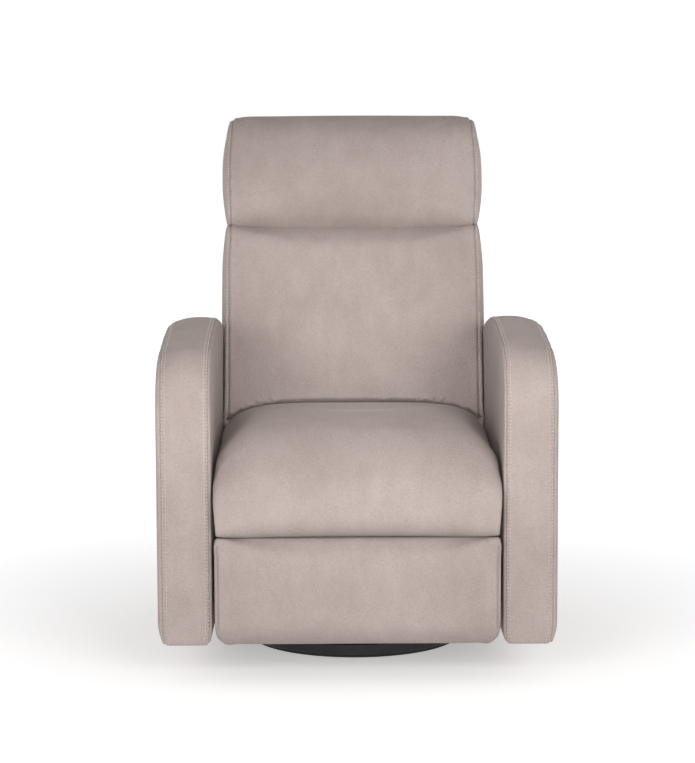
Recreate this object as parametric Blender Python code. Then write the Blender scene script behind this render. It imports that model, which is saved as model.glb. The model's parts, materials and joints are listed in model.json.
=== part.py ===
"""Swivel glider recliner for a nursery: base, turntable, glide links, carriage, seat, back and footrest.

Metres, +Z up. The chair faces -Y and +X is to the right as it is seen from the front. The origin is on the
floor, on the swivel axis. Side profiles are drawn in the (y, z) plane and extruded along X.
"""

import math

import bmesh
import bpy
from mathutils import Matrix, Vector

# Overall sizes
CHAIR_WIDTH = 0.750
ARM_WIDTH = 0.102
ARM_FRONT_Y = -0.415
ARM_REAR_Y = 0.325
ARM_BOTTOM_Z = 0.072
ARM_CREST_Z = 0.658
SEAT_FRONT_Y = -0.432
SEAT_TOP_Z = 0.484
BACK_LENGTH = 0.727
BACK_LEAN = math.radians(16)

# Clearances
SOFT_GAP = 0.0022
METAL_GAP = 0.0015
FIXED_GAP = 0.0004
PIN_GAP = 0.0004

# Base and swivel
RING_OUTER_R = 0.2165
RING_WIDTH = 0.024
RING_TOP_Z = 0.030
FLOOR_STRIP_HEIGHT = 0.0032
FLOOR_STRIP_WIDTH = 0.016
SPIDER_BAR_WIDTH = 0.040
SPIDER_BAR_Z = (0.018, 0.026)
SPIDER_BOSS_R = 0.080
SPIDER_BOSS_TOP_Z = 0.034
KINGPIN_R = 0.006
KINGPIN_HEAD_R = 0.013
KINGPIN_HEAD_HEIGHT = 0.007
BALL_CIRCLE_R = 0.062
BALL_R = 0.004
BALL_COUNT = 12
RACE_WIDTH = 0.026
RACE_THICKNESS = 0.0068
CAGE_WIDTH = 0.0050
CAGE_THICKNESS = 0.0012

# Turntable and glide
TURNTABLE_THICKNESS = 0.008
TURNTABLE_BAR_WIDTH = 0.034
TURNTABLE_SPINE_X = 0.080
GLIDE_PIVOT_Y = 0.120
GLIDE_LINK_LENGTH = 0.095
GLIDE_LOWER_Z = 0.104
GLIDE_LINK_HALF_WIDTH = 0.011
GLIDE_PIN_R = 0.0045
HANGER_THICKNESS = 0.004
HANGER_EAR_R = 0.014
HANGER_WEB_Z = 0.125
GLIDE_LINK_THICKNESS = 0.004

# Carriage steelwork
PLATE_THICKNESS = 0.003
PLATE_TO_ARM_GAP = 0.0035
CROSS_TUBE_SIZE = 0.022
CROSS_TUBE_Y = (-0.225, 0.225)
CROSS_TUBE_Z = 0.140
REAR_RAIL_THICKNESS = 0.018
REAR_PANEL_TOP_Z = 0.335

# Footrest linkage: a lazy tong of flat links, half a link from each pivot to the next
TONG_HALF_LINK = 0.075
TONG_RISE = math.radians(11.5)
TONG_CLOSED = math.radians(84)
TONG_OPEN = math.radians(8)
TONG_PIVOT = (-0.290, 0.232)
TONG_LINK_GAP = 0.001
TONG_LINK_THICKNESS = 0.003
TONG_PIN_R = 0.0034
FOOTREST_BOARD_THICKNESS = 0.012
FOOTREST_PAD_THICKNESS = 0.040
FOOTREST_Z = (0.0725, 0.272)

# Seat
SEAT_FRAME_Z = (0.285, 0.345)
SEAT_FRAME_Y = (-0.355, 0.130)
SEAT_RAIL_WIDTH = 0.032
SEAT_CUSHION_BOTTOM_Z = 0.352
SEAT_ROLL_BOTTOM_Z = 0.2785
SEAT_ROLL_DEPTH = 0.060
SEAT_SLIDE_TRAVEL = 0.045
SEAT_SLIDE_RISE = math.radians(10)
SEAT_PIN_R = 0.005
SEAT_PIN_Y = (-0.200, 0.030)
SEAT_PIN_Z = 0.303
SEAT_SPRING_COUNT = 3
SEAT_SPRING_SPACING = 0.125
SPRING_WIRE_R = 0.0018
SPRING_LOOP_HALF_WIDTH = 0.024
SPRING_LOOP_PITCH = 0.052

# Back
BACK_PIVOT = (0.190, 0.345)
BACK_PIN_R = 0.006
BACK_FRAME_DEPTH = (-0.028, 0.018)
BACK_FRAME_RAIL = 0.050
BACK_SHELL_WALL = 0.016
BACK_SHELL_SIDE_START = 0.045
BACK_CUSHION_START = 0.025
BACK_CUSHION_DEPTH = 0.122
HEADREST_START = 0.476
HEADREST_OVERHANG = 0.004
HEADREST_DEPTH = 0.134
WEB_THICKNESS = 0.0018
WEB_HEIGHT = 0.050
WEB_POSITIONS = (0.200, 0.400)
BRACKET_LENGTH = 0.170
BRACKET_HALF_WIDTH = 0.016

# Release handle, in the outer face of the arm on the sitter's right
HANDLE_Y = (-0.195, -0.080)
HANDLE_Z = (0.393, 0.443)
HANDLE_DEPTH = 0.0225
HANDLE_WALL = 0.0022
HANDLE_FLANGE = 0.008
HANDLE_FLANGE_THICKNESS = 0.003
PADDLE_LENGTH = 0.074
PADDLE_THICKNESS = 0.006
HANDLE_PIN_R = 0.0018
CABLE_R = 0.0025

# Sizes that follow from those above
HALF_WIDTH = CHAIR_WIDTH / 2
ARM_INNER_X = HALF_WIDTH - ARM_WIDTH
SOFT_HALF_WIDTH = ARM_INNER_X - SOFT_GAP
PLATE_OUTER_X = ARM_INNER_X - PLATE_TO_ARM_GAP
PLATE_INNER_X = PLATE_OUTER_X - PLATE_THICKNESS
TONG_LAYER_STEP = TONG_LINK_THICKNESS + METAL_GAP
TONG_LINK_HALF_WIDTH = (TONG_HALF_LINK * math.sin(2 * TONG_CLOSED) - TONG_LINK_GAP) / 2
SEAT_RAIL_OUTER_X = PLATE_INNER_X - 4 * TONG_LAYER_STEP - METAL_GAP
SEAT_RAIL_INNER_X = SEAT_RAIL_OUTER_X - PLATE_THICKNESS
SEAT_FRAME_HALF_WIDTH = SEAT_RAIL_INNER_X - FIXED_GAP
BRACKET_OUTER_X = SEAT_RAIL_INNER_X - METAL_GAP
BRACKET_INNER_X = BRACKET_OUTER_X - PLATE_THICKNESS
BACK_FRAME_HALF_WIDTH = BRACKET_INNER_X - FIXED_GAP
BACK_SHELL_HALF_WIDTH = PLATE_INNER_X - METAL_GAP
HEADREST_HALF_WIDTH = SOFT_HALF_WIDTH + HEADREST_OVERHANG
GLIDE_LINK_OUTER_X = SEAT_RAIL_OUTER_X
GLIDE_LINK_INNER_X = GLIDE_LINK_OUTER_X - GLIDE_LINK_THICKNESS
HANGER_OUTER_X = GLIDE_LINK_INNER_X - 2 * METAL_GAP
HANGER_INNER_X = HANGER_OUTER_X - HANGER_THICKNESS
GLIDE_UPPER_Z = GLIDE_LOWER_Z + GLIDE_LINK_LENGTH
RING_INNER_R = RING_OUTER_R - RING_WIDTH
LOWER_RACE_BOTTOM_Z = SPIDER_BOSS_TOP_Z + FIXED_GAP
BALL_Z = LOWER_RACE_BOTTOM_Z + RACE_THICKNESS + METAL_GAP
UPPER_RACE_BOTTOM_Z = BALL_Z + METAL_GAP
TURNTABLE_BOTTOM_Z = UPPER_RACE_BOTTOM_Z + RACE_THICKNESS + FIXED_GAP
TURNTABLE_TOP_Z = TURNTABLE_BOTTOM_Z + TURNTABLE_THICKNESS
BOARD_BACK_Y = SEAT_FRONT_Y + FOOTREST_PAD_THICKNESS + FIXED_GAP + FOOTREST_BOARD_THICKNESS
SEAT_TOP_REAR_Y = 0.074


def material(name, colour, roughness, metallic=0.0):
    """One Principled BSDF material."""
    made = bpy.data.materials.new(name)
    made.use_nodes = True
    shader = made.node_tree.nodes["Principled BSDF"]
    shader.inputs["Base Color"].default_value = (*colour, 1.0)
    shader.inputs["Roughness"].default_value = roughness
    shader.inputs["Metallic"].default_value = metallic
    return made


def clear_scene():
    for old in list(bpy.data.objects):
        bpy.data.objects.remove(old)


def add_object(name, mesh, finish, sharp=math.radians(35)):
    """Puts a mesh in the scene as a named object, smooth apart from its real edges."""
    mesh.materials.append(finish)
    mesh.shade_smooth()
    mesh.set_sharp_from_angle(angle=sharp)
    made = bpy.data.objects.new(name, mesh)
    bpy.context.scene.collection.objects.link(made)
    return made


def as_cutter(made):
    made.hide_render = True
    made.display_type = "WIRE"
    return made


def boolean(target, other, operation):
    """Applies another object's shape to target; the other stays as a hidden helper."""
    step = target.modifiers.new(operation.title(), "BOOLEAN")
    step.operation = operation
    step.solver = "EXACT"
    step.object = as_cutter(other)
    return target


def cut(target, cutter):
    return boolean(target, cutter, "DIFFERENCE")


def join(target, other):
    return boolean(target, other, "UNION")


def soften(made, width, segments=2, angle=math.radians(40)):
    """Rounds the sharp edges of a piece."""
    step = made.modifiers.new("Bevel", "BEVEL")
    step.width = width
    step.segments = segments
    step.limit_method = "ANGLE"
    step.angle_limit = angle
    return made


def rounded(corners, steps=4):
    """An outline through (y, z, radius) corners, each turned into an arc of that radius."""
    outline = []
    count = len(corners)
    for index, (y, z, radius) in enumerate(corners):
        corner = Vector((y, z))
        before = (Vector(corners[index - 1][:2]) - corner).normalized()
        after = (Vector(corners[(index + 1) % count][:2]) - corner).normalized()
        half = before.angle(after) / 2
        if radius < 1e-6 or half > math.pi / 2 - 1e-4:
            outline.append((y, z))
            continue
        centre = corner + (before + after).normalized() * (radius / math.sin(half))
        reach = radius / math.tan(half)
        start, end = corner + before * reach - centre, corner + after * reach - centre
        sweep = start.angle_signed(end)
        for step in range(steps + 1):
            turned_to = Matrix.Rotation(-sweep * step / steps, 2) @ start
            outline.append(tuple(centre + turned_to))
    return outline


def capsule(a, b, radius, steps=5):
    """The outline of a flat link: straight sides and round ends about the (y, z) points a and b."""
    a, b = Vector(a), Vector(b)
    along = (b - a).normalized()
    outline = []
    for centre, way in ((b, 1), (a, -1)):
        for step in range(steps + 1):
            turn = Matrix.Rotation(math.pi * (step / steps - 0.5), 2)
            outline.append(tuple(centre + turn @ (along * way) * radius))
    return outline


def circle(centre, radius, sides=16):
    """A polygon round a (y, z) centre."""
    return [
        (centre[0] + radius * math.cos(turn), centre[1] + radius * math.sin(turn))
        for turn in (2 * math.pi * (step + 0.5) / sides for step in range(sides))
    ]


def prism(name, outline, x_from, x_to, finish):
    """A (y, z) outline extruded along X."""
    form = bmesh.new()
    face = form.faces.new([form.verts.new((x_from, y, z)) for y, z in outline])
    grown = bmesh.ops.extrude_face_region(form, geom=[face])
    moved = [item for item in grown["geom"] if isinstance(item, bmesh.types.BMVert)]
    bmesh.ops.translate(form, verts=moved, vec=(x_to - x_from, 0, 0))
    bmesh.ops.recalc_face_normals(form, faces=form.faces)
    mesh = bpy.data.meshes.new(name)
    form.to_mesh(mesh)
    form.free()
    return add_object(name, mesh, finish)


def block(name, low, high, finish):
    """A box between two corners."""
    outline = [(low[1], low[2]), (high[1], low[2]), (high[1], high[2]), (low[1], high[2])]
    return prism(name, outline, low[0], high[0], finish)


def rod(name, centre, radius, x_from, x_to, finish, sides=16):
    """A round bar along X, about a (y, z) centre."""
    return prism(name, circle(centre, radius, sides), x_from, x_to, finish)


def turned(name, profile, finish, steps=48):
    """A closed (radius, z) profile turned about the Z axis."""
    form = bmesh.new()
    corners = [form.verts.new((radius, 0, z)) for radius, z in profile]
    edges = [form.edges.new(pair) for pair in zip(corners, corners[1:] + corners[:1])]
    bmesh.ops.spin(
        form, geom=corners + edges, cent=(0, 0, 0), axis=(0, 0, 1),
        angle=2 * math.pi, steps=steps, use_merge=True, use_duplicate=False,
    )
    bmesh.ops.remove_doubles(form, verts=form.verts, dist=1e-6)
    bmesh.ops.recalc_face_normals(form, faces=form.faces)
    mesh = bpy.data.meshes.new(name)
    form.to_mesh(mesh)
    form.free()
    return add_object(name, mesh, finish)


def wire(name, points, radius, finish, sides_step=1):
    """A round tube with flat ends along a list of points."""
    line = bpy.data.curves.new(name, "CURVE")
    line.dimensions = "3D"
    line.bevel_depth = radius
    line.bevel_resolution = sides_step
    line.use_fill_caps = True
    line.materials.append(finish)
    spline = line.splines.new("POLY")
    spline.points.add(len(points) - 1)
    for target, point in zip(spline.points, points):
        target.co = (*point, 1)
    made = bpy.data.objects.new(name, line)
    bpy.context.scene.collection.objects.link(made)
    return made


def drill(target, centre, radius, x_from, x_to, sides=16):
    """A hole along X through target."""
    spare = 0.002 if x_to > x_from else -0.002
    cutter = rod(f"{target.name}_hole", centre, radius, x_from - spare, x_to + spare, target.data.materials[0], sides)
    return cut(target, cutter)


def back_point(forward, along):
    """(y, z) of a point on the back: forward from the pivot line, and along the back from the pivot."""
    lean = (math.sin(BACK_LEAN), math.cos(BACK_LEAN))
    return (
        BACK_PIVOT[0] + along * lean[0] - forward * lean[1],
        BACK_PIVOT[1] + along * lean[1] + forward * lean[0],
    )


def back_outline(corners, steps=4):
    """A rounded outline drawn in the back's own (forward, along) directions."""
    return rounded([(*back_point(forward, along), radius) for forward, along, radius in corners], steps)


def tong_points():
    """The footrest linkage's pivots in the (y, z) plane with the footrest shut."""
    along = Vector((-math.cos(TONG_RISE), math.sin(TONG_RISE)))
    down = Vector((-math.sin(TONG_RISE), -math.cos(TONG_RISE)))
    stage = along * 2 * TONG_HALF_LINK * math.cos(TONG_CLOSED)
    drop = down * 2 * TONG_HALF_LINK * math.sin(TONG_CLOSED)
    top = [Vector(TONG_PIVOT) + stage * number for number in range(3)]
    low = [point + drop for point in top]
    middle = [point + stage / 2 + drop / 2 for point in top]
    slot_end = Vector(TONG_PIVOT) + down * 2 * TONG_HALF_LINK * math.sin(TONG_OPEN)
    return top, low, middle, slot_end


def arm_outline(inset=0.0, bottom=ARM_BOTTOM_Z):
    """The arm's side profile: upright front, arched top, sloping rear."""
    return rounded([
        (ARM_FRONT_Y + inset, bottom, 0.018 if inset == 0 else 0),
        (ARM_FRONT_Y + inset, ARM_CREST_Z - 0.048 - inset, 0.075),
        (-0.050, ARM_CREST_Z - inset, 0.550),
        (0.205, ARM_CREST_Z - 0.052 - inset, 0.180),
        (ARM_REAR_Y - inset, ARM_CREST_Z - 0.160 - inset, 0.090),
        (ARM_REAR_Y - inset, bottom, 0.018 if inset == 0 else 0),
    ], steps=5)


def build_base(steel, plastic):
    """The ring that stands on the floor, its cross bars, the lower race and the kingpin."""
    ring_bottom = FLOOR_STRIP_HEIGHT + FIXED_GAP
    edge = 0.004
    turned("base_ring", [
        (RING_INNER_R, ring_bottom + edge), (RING_INNER_R + edge, ring_bottom),
        (RING_OUTER_R - edge, ring_bottom), (RING_OUTER_R, ring_bottom + edge),
        (RING_OUTER_R, RING_TOP_Z - edge), (RING_OUTER_R - edge, RING_TOP_Z),
        (RING_INNER_R + edge, RING_TOP_Z), (RING_INNER_R, RING_TOP_Z - edge),
    ], steel, steps=64)
    middle = RING_OUTER_R - RING_WIDTH / 2
    half = FLOOR_STRIP_WIDTH / 2
    turned("base_floor_strip", [
        (middle - half, 0), (middle + half, 0),
        (middle + half, FLOOR_STRIP_HEIGHT), (middle - half, FLOOR_STRIP_HEIGHT),
    ], plastic, steps=64)
    reach = RING_INNER_R - 0.0015
    half = SPIDER_BAR_WIDTH / 2
    low, high = SPIDER_BAR_Z
    spider = block("base_spider", (-reach, -half, low), (reach, half, high), steel)
    join(spider, block("spider_bar", (-half, -reach, low), (half, reach, high), steel))
    boss = turned("spider_boss", [
        (0, low - 0.001), (SPIDER_BOSS_R, low - 0.001), (SPIDER_BOSS_R, SPIDER_BOSS_TOP_Z), (0, SPIDER_BOSS_TOP_Z),
    ], steel, steps=32)
    join(spider, boss)
    hole = turned("spider_hole", [
        (0, 0), (KINGPIN_R + PIN_GAP, 0), (KINGPIN_R + PIN_GAP, 0.05), (0, 0.05),
    ], steel, steps=16)
    cut(spider, hole)
    head_low = low - 0.001 - FIXED_GAP
    head_high = TURNTABLE_TOP_Z + METAL_GAP
    turned("kingpin", [
        (0, head_low - KINGPIN_HEAD_HEIGHT), (KINGPIN_HEAD_R, head_low - KINGPIN_HEAD_HEIGHT),
        (KINGPIN_HEAD_R, head_low), (KINGPIN_R, head_low), (KINGPIN_R, head_high),
        (KINGPIN_HEAD_R, head_high), (KINGPIN_HEAD_R, head_high + KINGPIN_HEAD_HEIGHT),
        (0, head_high + KINGPIN_HEAD_HEIGHT),
    ], steel, steps=20)


def race_profile(bottom, groove_up):
    """A flat ring with a round groove for the balls in one face."""
    top = bottom + RACE_THICKNESS
    inner, outer = BALL_CIRCLE_R - RACE_WIDTH / 2, BALL_CIRCLE_R + RACE_WIDTH / 2
    groove_r = BALL_R + METAL_GAP / 2
    face = top if groove_up else bottom
    gap = abs(BALL_Z - face)
    half = math.acos(gap / groove_r)
    sign = -1 if groove_up else 1
    groove = [
        (BALL_CIRCLE_R + groove_r * math.sin(turn), BALL_Z + sign * groove_r * math.cos(turn))
        for turn in (half - 2 * half * step / 4 for step in range(5))
    ]
    if groove_up:
        return [(inner, bottom), (outer, bottom), (outer, top), *groove, (inner, top)]
    return [(inner, top), (outer, top), (outer, bottom), *groove, (inner, bottom)]


def build_bearing(steel, brass):
    """Two grooved races, and between them a cage that carries the balls."""
    turned("bearing_lower_race", race_profile(LOWER_RACE_BOTTOM_Z, True), steel, steps=36)
    turned("bearing_upper_race", race_profile(UPPER_RACE_BOTTOM_Z, False), steel, steps=36)
    half, thick = CAGE_WIDTH / 2, CAGE_THICKNESS / 2
    cage = turned("bearing_ball_cage", [
        (BALL_CIRCLE_R - half, BALL_Z - thick), (BALL_CIRCLE_R + half, BALL_Z - thick),
        (BALL_CIRCLE_R + half, BALL_Z + thick), (BALL_CIRCLE_R - half, BALL_Z + thick),
    ], brass, steps=36)
    form = bmesh.new()
    for number in range(BALL_COUNT):
        turn = 2 * math.pi * number / BALL_COUNT
        place = Matrix.Translation((BALL_CIRCLE_R * math.cos(turn), BALL_CIRCLE_R * math.sin(turn), BALL_Z))
        bmesh.ops.create_icosphere(form, subdivisions=1, radius=BALL_R, matrix=place)
    mesh = bpy.data.meshes.new("balls")
    form.to_mesh(mesh)
    form.free()
    join(cage, add_object("balls", mesh, brass))


def build_turntable(steel):
    """The welded frame on the upper race, with a hanger at each side and two axles through the hangers."""
    reach = HANGER_INNER_X - FIXED_GAP
    half = TURNTABLE_BAR_WIDTH / 2
    low, high = TURNTABLE_BOTTOM_Z, TURNTABLE_TOP_Z
    frame = turned("turntable_frame", [
        (KINGPIN_R + PIN_GAP, low), (BALL_CIRCLE_R + RACE_WIDTH / 2, low),
        (BALL_CIRCLE_R + RACE_WIDTH / 2, high), (KINGPIN_R + PIN_GAP, high),
    ], steel, steps=32)
    for way in (-1, 1):
        y = way * GLIDE_PIVOT_Y
        join(frame, block(f"turntable_bar_{way}", (-reach, y - half, low), (reach, y + half, high), steel))
        x = way * TURNTABLE_SPINE_X
        spine = block(
            f"turntable_spine_{way}", (x - half, -GLIDE_PIVOT_Y, low + 0.0005),
            (x + half, GLIDE_PIVOT_Y, high - 0.0005), steel,
        )
        join(frame, spine)
    foot = GLIDE_PIVOT_Y + 0.026
    ear = HANGER_EAR_R
    outline = rounded([
        (-foot, low, 0.004), (foot, low, 0.004),
        (GLIDE_PIVOT_Y + ear, GLIDE_UPPER_Z + ear, ear * 0.9), (GLIDE_PIVOT_Y - ear, GLIDE_UPPER_Z + ear, ear * 0.9),
        (GLIDE_PIVOT_Y - ear - 0.018, HANGER_WEB_Z, 0.020), (-GLIDE_PIVOT_Y + ear + 0.018, HANGER_WEB_Z, 0.020),
        (-GLIDE_PIVOT_Y + ear, GLIDE_UPPER_Z + ear, ear * 0.9), (-GLIDE_PIVOT_Y - ear, GLIDE_UPPER_Z + ear, ear * 0.9),
    ])
    axle_end = GLIDE_LINK_OUTER_X + METAL_GAP
    for side, label in ((-1, "left"), (1, "right")):
        hanger = prism(f"hanger_{label}", outline, side * HANGER_INNER_X, side * HANGER_OUTER_X, steel)
        for way in (-1, 1):
            centre = (way * GLIDE_PIVOT_Y, GLIDE_UPPER_Z)
            drill(hanger, centre, GLIDE_PIN_R + PIN_GAP, side * HANGER_INNER_X, side * HANGER_OUTER_X)
    for way, label in ((-1, "front"), (1, "rear")):
        rod(f"glide_axle_{label}", (way * GLIDE_PIVOT_Y, GLIDE_UPPER_Z), GLIDE_PIN_R, -axle_end, axle_end, steel)


def build_glide_links(steel):
    """Four hanging links, each on an axle above and on a carriage stud below."""
    for way, place in ((-1, "front"), (1, "rear")):
        upper, lower = (way * GLIDE_PIVOT_Y, GLIDE_UPPER_Z), (way * GLIDE_PIVOT_Y, GLIDE_LOWER_Z)
        for side, label in ((-1, "left"), (1, "right")):
            inner, outer = side * GLIDE_LINK_INNER_X, side * GLIDE_LINK_OUTER_X
            link = prism(f"glide_link_{place}_{label}", capsule(upper, lower, GLIDE_LINK_HALF_WIDTH), inner, outer, steel)
            drill(link, upper, GLIDE_PIN_R + PIN_GAP, inner, outer)
            drill(link, lower, GLIDE_PIN_R + PIN_GAP, inner, outer)


def build_carriage(steel, wood, plastic):
    """Side plates with their welded studs, and the two tubes that tie them together."""
    top, low, _, slot_end = tong_points()
    outline = rounded([
        (TONG_PIVOT[0] - 0.045, ARM_BOTTOM_Z + 0.003, 0.008), (GLIDE_PIVOT_Y + 0.130, ARM_BOTTOM_Z + 0.010, 0.012),
        (GLIDE_PIVOT_Y + 0.130, 0.190, 0.030), (SEAT_PIN_Y[1] + 0.060, SEAT_PIN_Z + 0.020, 0.030),
        (SEAT_PIN_Y[0] - 0.060, SEAT_PIN_Z + 0.020, 0.030), (TONG_PIVOT[0] - 0.018, TONG_PIVOT[1] + 0.022, 0.016),
    ])
    for side, label in ((-1, "left"), (1, "right")):
        inner, outer = side * PLATE_INNER_X, side * PLATE_OUTER_X
        plate = prism(f"mechanism_plate_{label}", outline, inner, outer, steel)
        weld = side * (PLATE_INNER_X + PLATE_THICKNESS / 2)
        for way in (-1, 1):
            stud_end = side * (GLIDE_LINK_INNER_X - METAL_GAP)
            join(plate, rod("glide_stud", (way * GLIDE_PIVOT_Y, GLIDE_LOWER_Z), GLIDE_PIN_R, weld, stud_end, steel))
        for y in SEAT_PIN_Y:
            pin_end = side * (SEAT_RAIL_INNER_X + 0.0006)
            join(plate, rod("seat_pin", (y, SEAT_PIN_Z), SEAT_PIN_R, weld, pin_end, steel))
        drill(plate, TONG_PIVOT, TONG_PIN_R + PIN_GAP, inner, outer)
        slot = capsule(low[0], slot_end, TONG_PIN_R + PIN_GAP)
        cut(plate, prism("guide_slot", slot, side * (PLATE_INNER_X - 0.002), side * (PLATE_OUTER_X + 0.002), steel))
    half = CROSS_TUBE_SIZE / 2
    reach = PLATE_INNER_X - FIXED_GAP
    for y, label in zip(CROSS_TUBE_Y, ("front", "rear")):
        tube = block(
            f"cross_tube_{label}", (-reach, y - half, CROSS_TUBE_Z - half), (reach, y + half, CROSS_TUBE_Z + half), steel,
        )
        wall = 0.002
        bore = block(
            "tube_bore", (-reach - 0.01, y - half + wall, CROSS_TUBE_Z - half + wall),
            (reach + 0.01, y + half - wall, CROSS_TUBE_Z + half - wall), steel,
        )
        cut(tube, bore)
    reach = ARM_INNER_X - FIXED_GAP * 2
    rear_y = ARM_REAR_Y - 0.022
    block("rear_rail", (-reach, rear_y - REAR_RAIL_THICKNESS, 0.100), (reach, rear_y, REAR_PANEL_TOP_Z - 0.012), wood)
    return rear_y, reach


def build_rear_panel(cloth, rear_y, reach):
    """The upholstered panel across the lower back of the chair."""
    panel = prism("rear_panel", rounded([
        (rear_y + FIXED_GAP, ARM_BOTTOM_Z + 0.006, 0.002), (ARM_REAR_Y - 0.003, ARM_BOTTOM_Z + 0.006, 0.010),
        (ARM_REAR_Y - 0.003, REAR_PANEL_TOP_Z, 0.010), (rear_y + FIXED_GAP, REAR_PANEL_TOP_Z, 0.002),
    ]), -reach, reach, cloth)
    return panel


def build_arms(cloth, wood, plastic):
    """Each arm: a wooden frame inside a padded cover that is open underneath."""
    foam, wall = 0.022, 0.012
    window = rounded([
        (-0.290, 0.160, 0.020), (0.200, 0.160, 0.020), (0.200, 0.480, 0.040), (-0.290, 0.530, 0.040),
    ])
    for side, label in ((-1, "left"), (1, "right")):
        cover = prism(f"arm_cover_{label}", arm_outline(), side * ARM_INNER_X, side * HALF_WIDTH, cloth)
        soften(cover, 0.010, segments=2)
        pocket_low = ARM_BOTTOM_Z - 0.010
        inner, outer = ARM_INNER_X + wall, HALF_WIDTH - wall
        cut(cover, prism("arm_pocket", arm_outline(foam, pocket_low), side * inner, side * outer, cloth))
        bottom = ARM_BOTTOM_Z + 0.002
        frame_in, frame_out = inner + FIXED_GAP, outer - FIXED_GAP
        frame = prism(
            f"arm_frame_{label}", arm_outline(foam + FIXED_GAP, bottom), side * frame_in, side * frame_out, wood,
        )
        cut(frame, prism("arm_window", window, side * (frame_in - 0.01), side * (frame_out + 0.01), wood))
        glide_y = ARM_FRONT_Y + foam + 0.030
        glide_x = side * (HALF_WIDTH - ARM_WIDTH / 2)
        glide = turned(f"arm_glide_{label}", [
            (0, -0.006), (0.009, -0.006), (0.011, -0.003), (0.011, 0), (0.0, 0),
        ], plastic, steps=16)
        glide.location = (glide_x, glide_y, bottom - FIXED_GAP)
    return -(HALF_WIDTH - wall)


def build_release_handle(plastic, steel, cable_finish):
    """A cup in the outer face of the arm with a spring-loaded paddle in it, and the cable to the linkage."""
    outer = -HALF_WIDTH
    y0, y1 = HANDLE_Y
    z0, z1 = HANDLE_Z
    spare = HANDLE_WALL + FIXED_GAP
    arm = bpy.data.objects["arm_cover_left"]
    hole = block(
        "handle_hole", (outer - 0.01, y0 - spare, z0 - spare), (outer + 0.0135, y1 + spare, z1 + spare), plastic,
    )
    cut(arm, hole)
    cup = block(
        "release_cup", (outer - HANDLE_FLANGE_THICKNESS, y0 - HANDLE_FLANGE, z0 - HANDLE_FLANGE),
        (outer - FIXED_GAP, y1 + HANDLE_FLANGE, z1 + HANDLE_FLANGE), plastic,
    )
    bowl = block(
        "cup_bowl", (outer - HANDLE_FLANGE_THICKNESS / 2, y0 - HANDLE_WALL, z0 - HANDLE_WALL),
        (outer + HANDLE_DEPTH, y1 + HANDLE_WALL, z1 + HANDLE_WALL), plastic,
    )
    join(cup, bowl)
    hollow = block(
        "cup_hollow", (outer - 0.01, y0, z0), (outer + HANDLE_DEPTH - HANDLE_WALL, y1, z1), plastic,
    )
    cut(cup, hollow)
    hinge_x = outer + 0.008
    hinge_y = y0 + 0.006
    gap = 0.001
    half = PADDLE_THICKNESS / 2
    paddle = block(
        "release_paddle", (hinge_x - half, hinge_y - half, z0 + gap), (hinge_x + half, hinge_y + PADDLE_LENGTH, z1 - gap),
        plastic,
    )
    soften(paddle, 0.0025, segments=2)
    add_handle_hinge(cup, paddle, (hinge_x, hinge_y, 0), plastic)
    start = outer + HANDLE_DEPTH + METAL_GAP
    middle = outer + ARM_WIDTH / 2
    end = 0.0025 - ARM_INNER_X
    route = [
        (start, -0.140, 0.418), (start + 0.010, -0.138, 0.414), (middle - 0.008, -0.134, 0.398),
        (middle - 0.003, -0.128, 0.370), (middle - 0.001, -0.122, 0.330), (middle + 0.001, -0.118, 0.290),
        (middle + 0.005, -0.116, 0.255), (middle + 0.013, -0.118, 0.228), (end - 0.028, -0.124, 0.214),
        (end - 0.016, -0.130, 0.210), (end, -0.134, 0.209),
    ]
    wire("release_cable", smooth_route(route, 3), CABLE_R, cable_finish, sides_step=2)
    exit_centre = (-0.132, 0.2095)
    drill(arm, exit_centre, 0.009, -(ARM_INNER_X - 0.002), -(ARM_INNER_X + 0.016))


def add_handle_hinge(cup, paddle, place, plastic):
    """Upright pins on the paddle that turn in the cup's upper and lower walls."""
    low, high = HANDLE_Z[0] - HANDLE_WALL * 0.7, HANDLE_Z[1] + HANDLE_WALL * 0.7
    pin = turned("paddle_pin", [
        (0, low), (HANDLE_PIN_R, low), (HANDLE_PIN_R, high), (0, high),
    ], plastic, steps=12)
    pin.location = place
    join(paddle, pin)
    low, high = HANDLE_Z[0] - HANDLE_WALL - 0.001, HANDLE_Z[1] + HANDLE_WALL + 0.001
    socket = turned("paddle_socket", [
        (0, low), (HANDLE_PIN_R + PIN_GAP, low), (HANDLE_PIN_R + PIN_GAP, high), (0, high),
    ], plastic, steps=12)
    socket.location = place
    cut(cup, socket)


def smooth_route(points, between):
    """A smooth curve through the points, with this many extra points in each gap."""
    places = [Vector(point) for point in points]
    route = []
    for index in range(len(places) - 1):
        before = places[max(index - 1, 0)]
        here, there = places[index], places[index + 1]
        after = places[min(index + 2, len(places) - 1)]
        for step in range(between + 1):
            t = step / (between + 1)
            route.append(0.5 * (
                2 * here + (there - before) * t
                + (2 * before - 5 * here + 4 * there - after) * t ** 2
                + (3 * here - before - 3 * there + after) * t ** 3
            ))
    return [*route, places[-1]]


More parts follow.
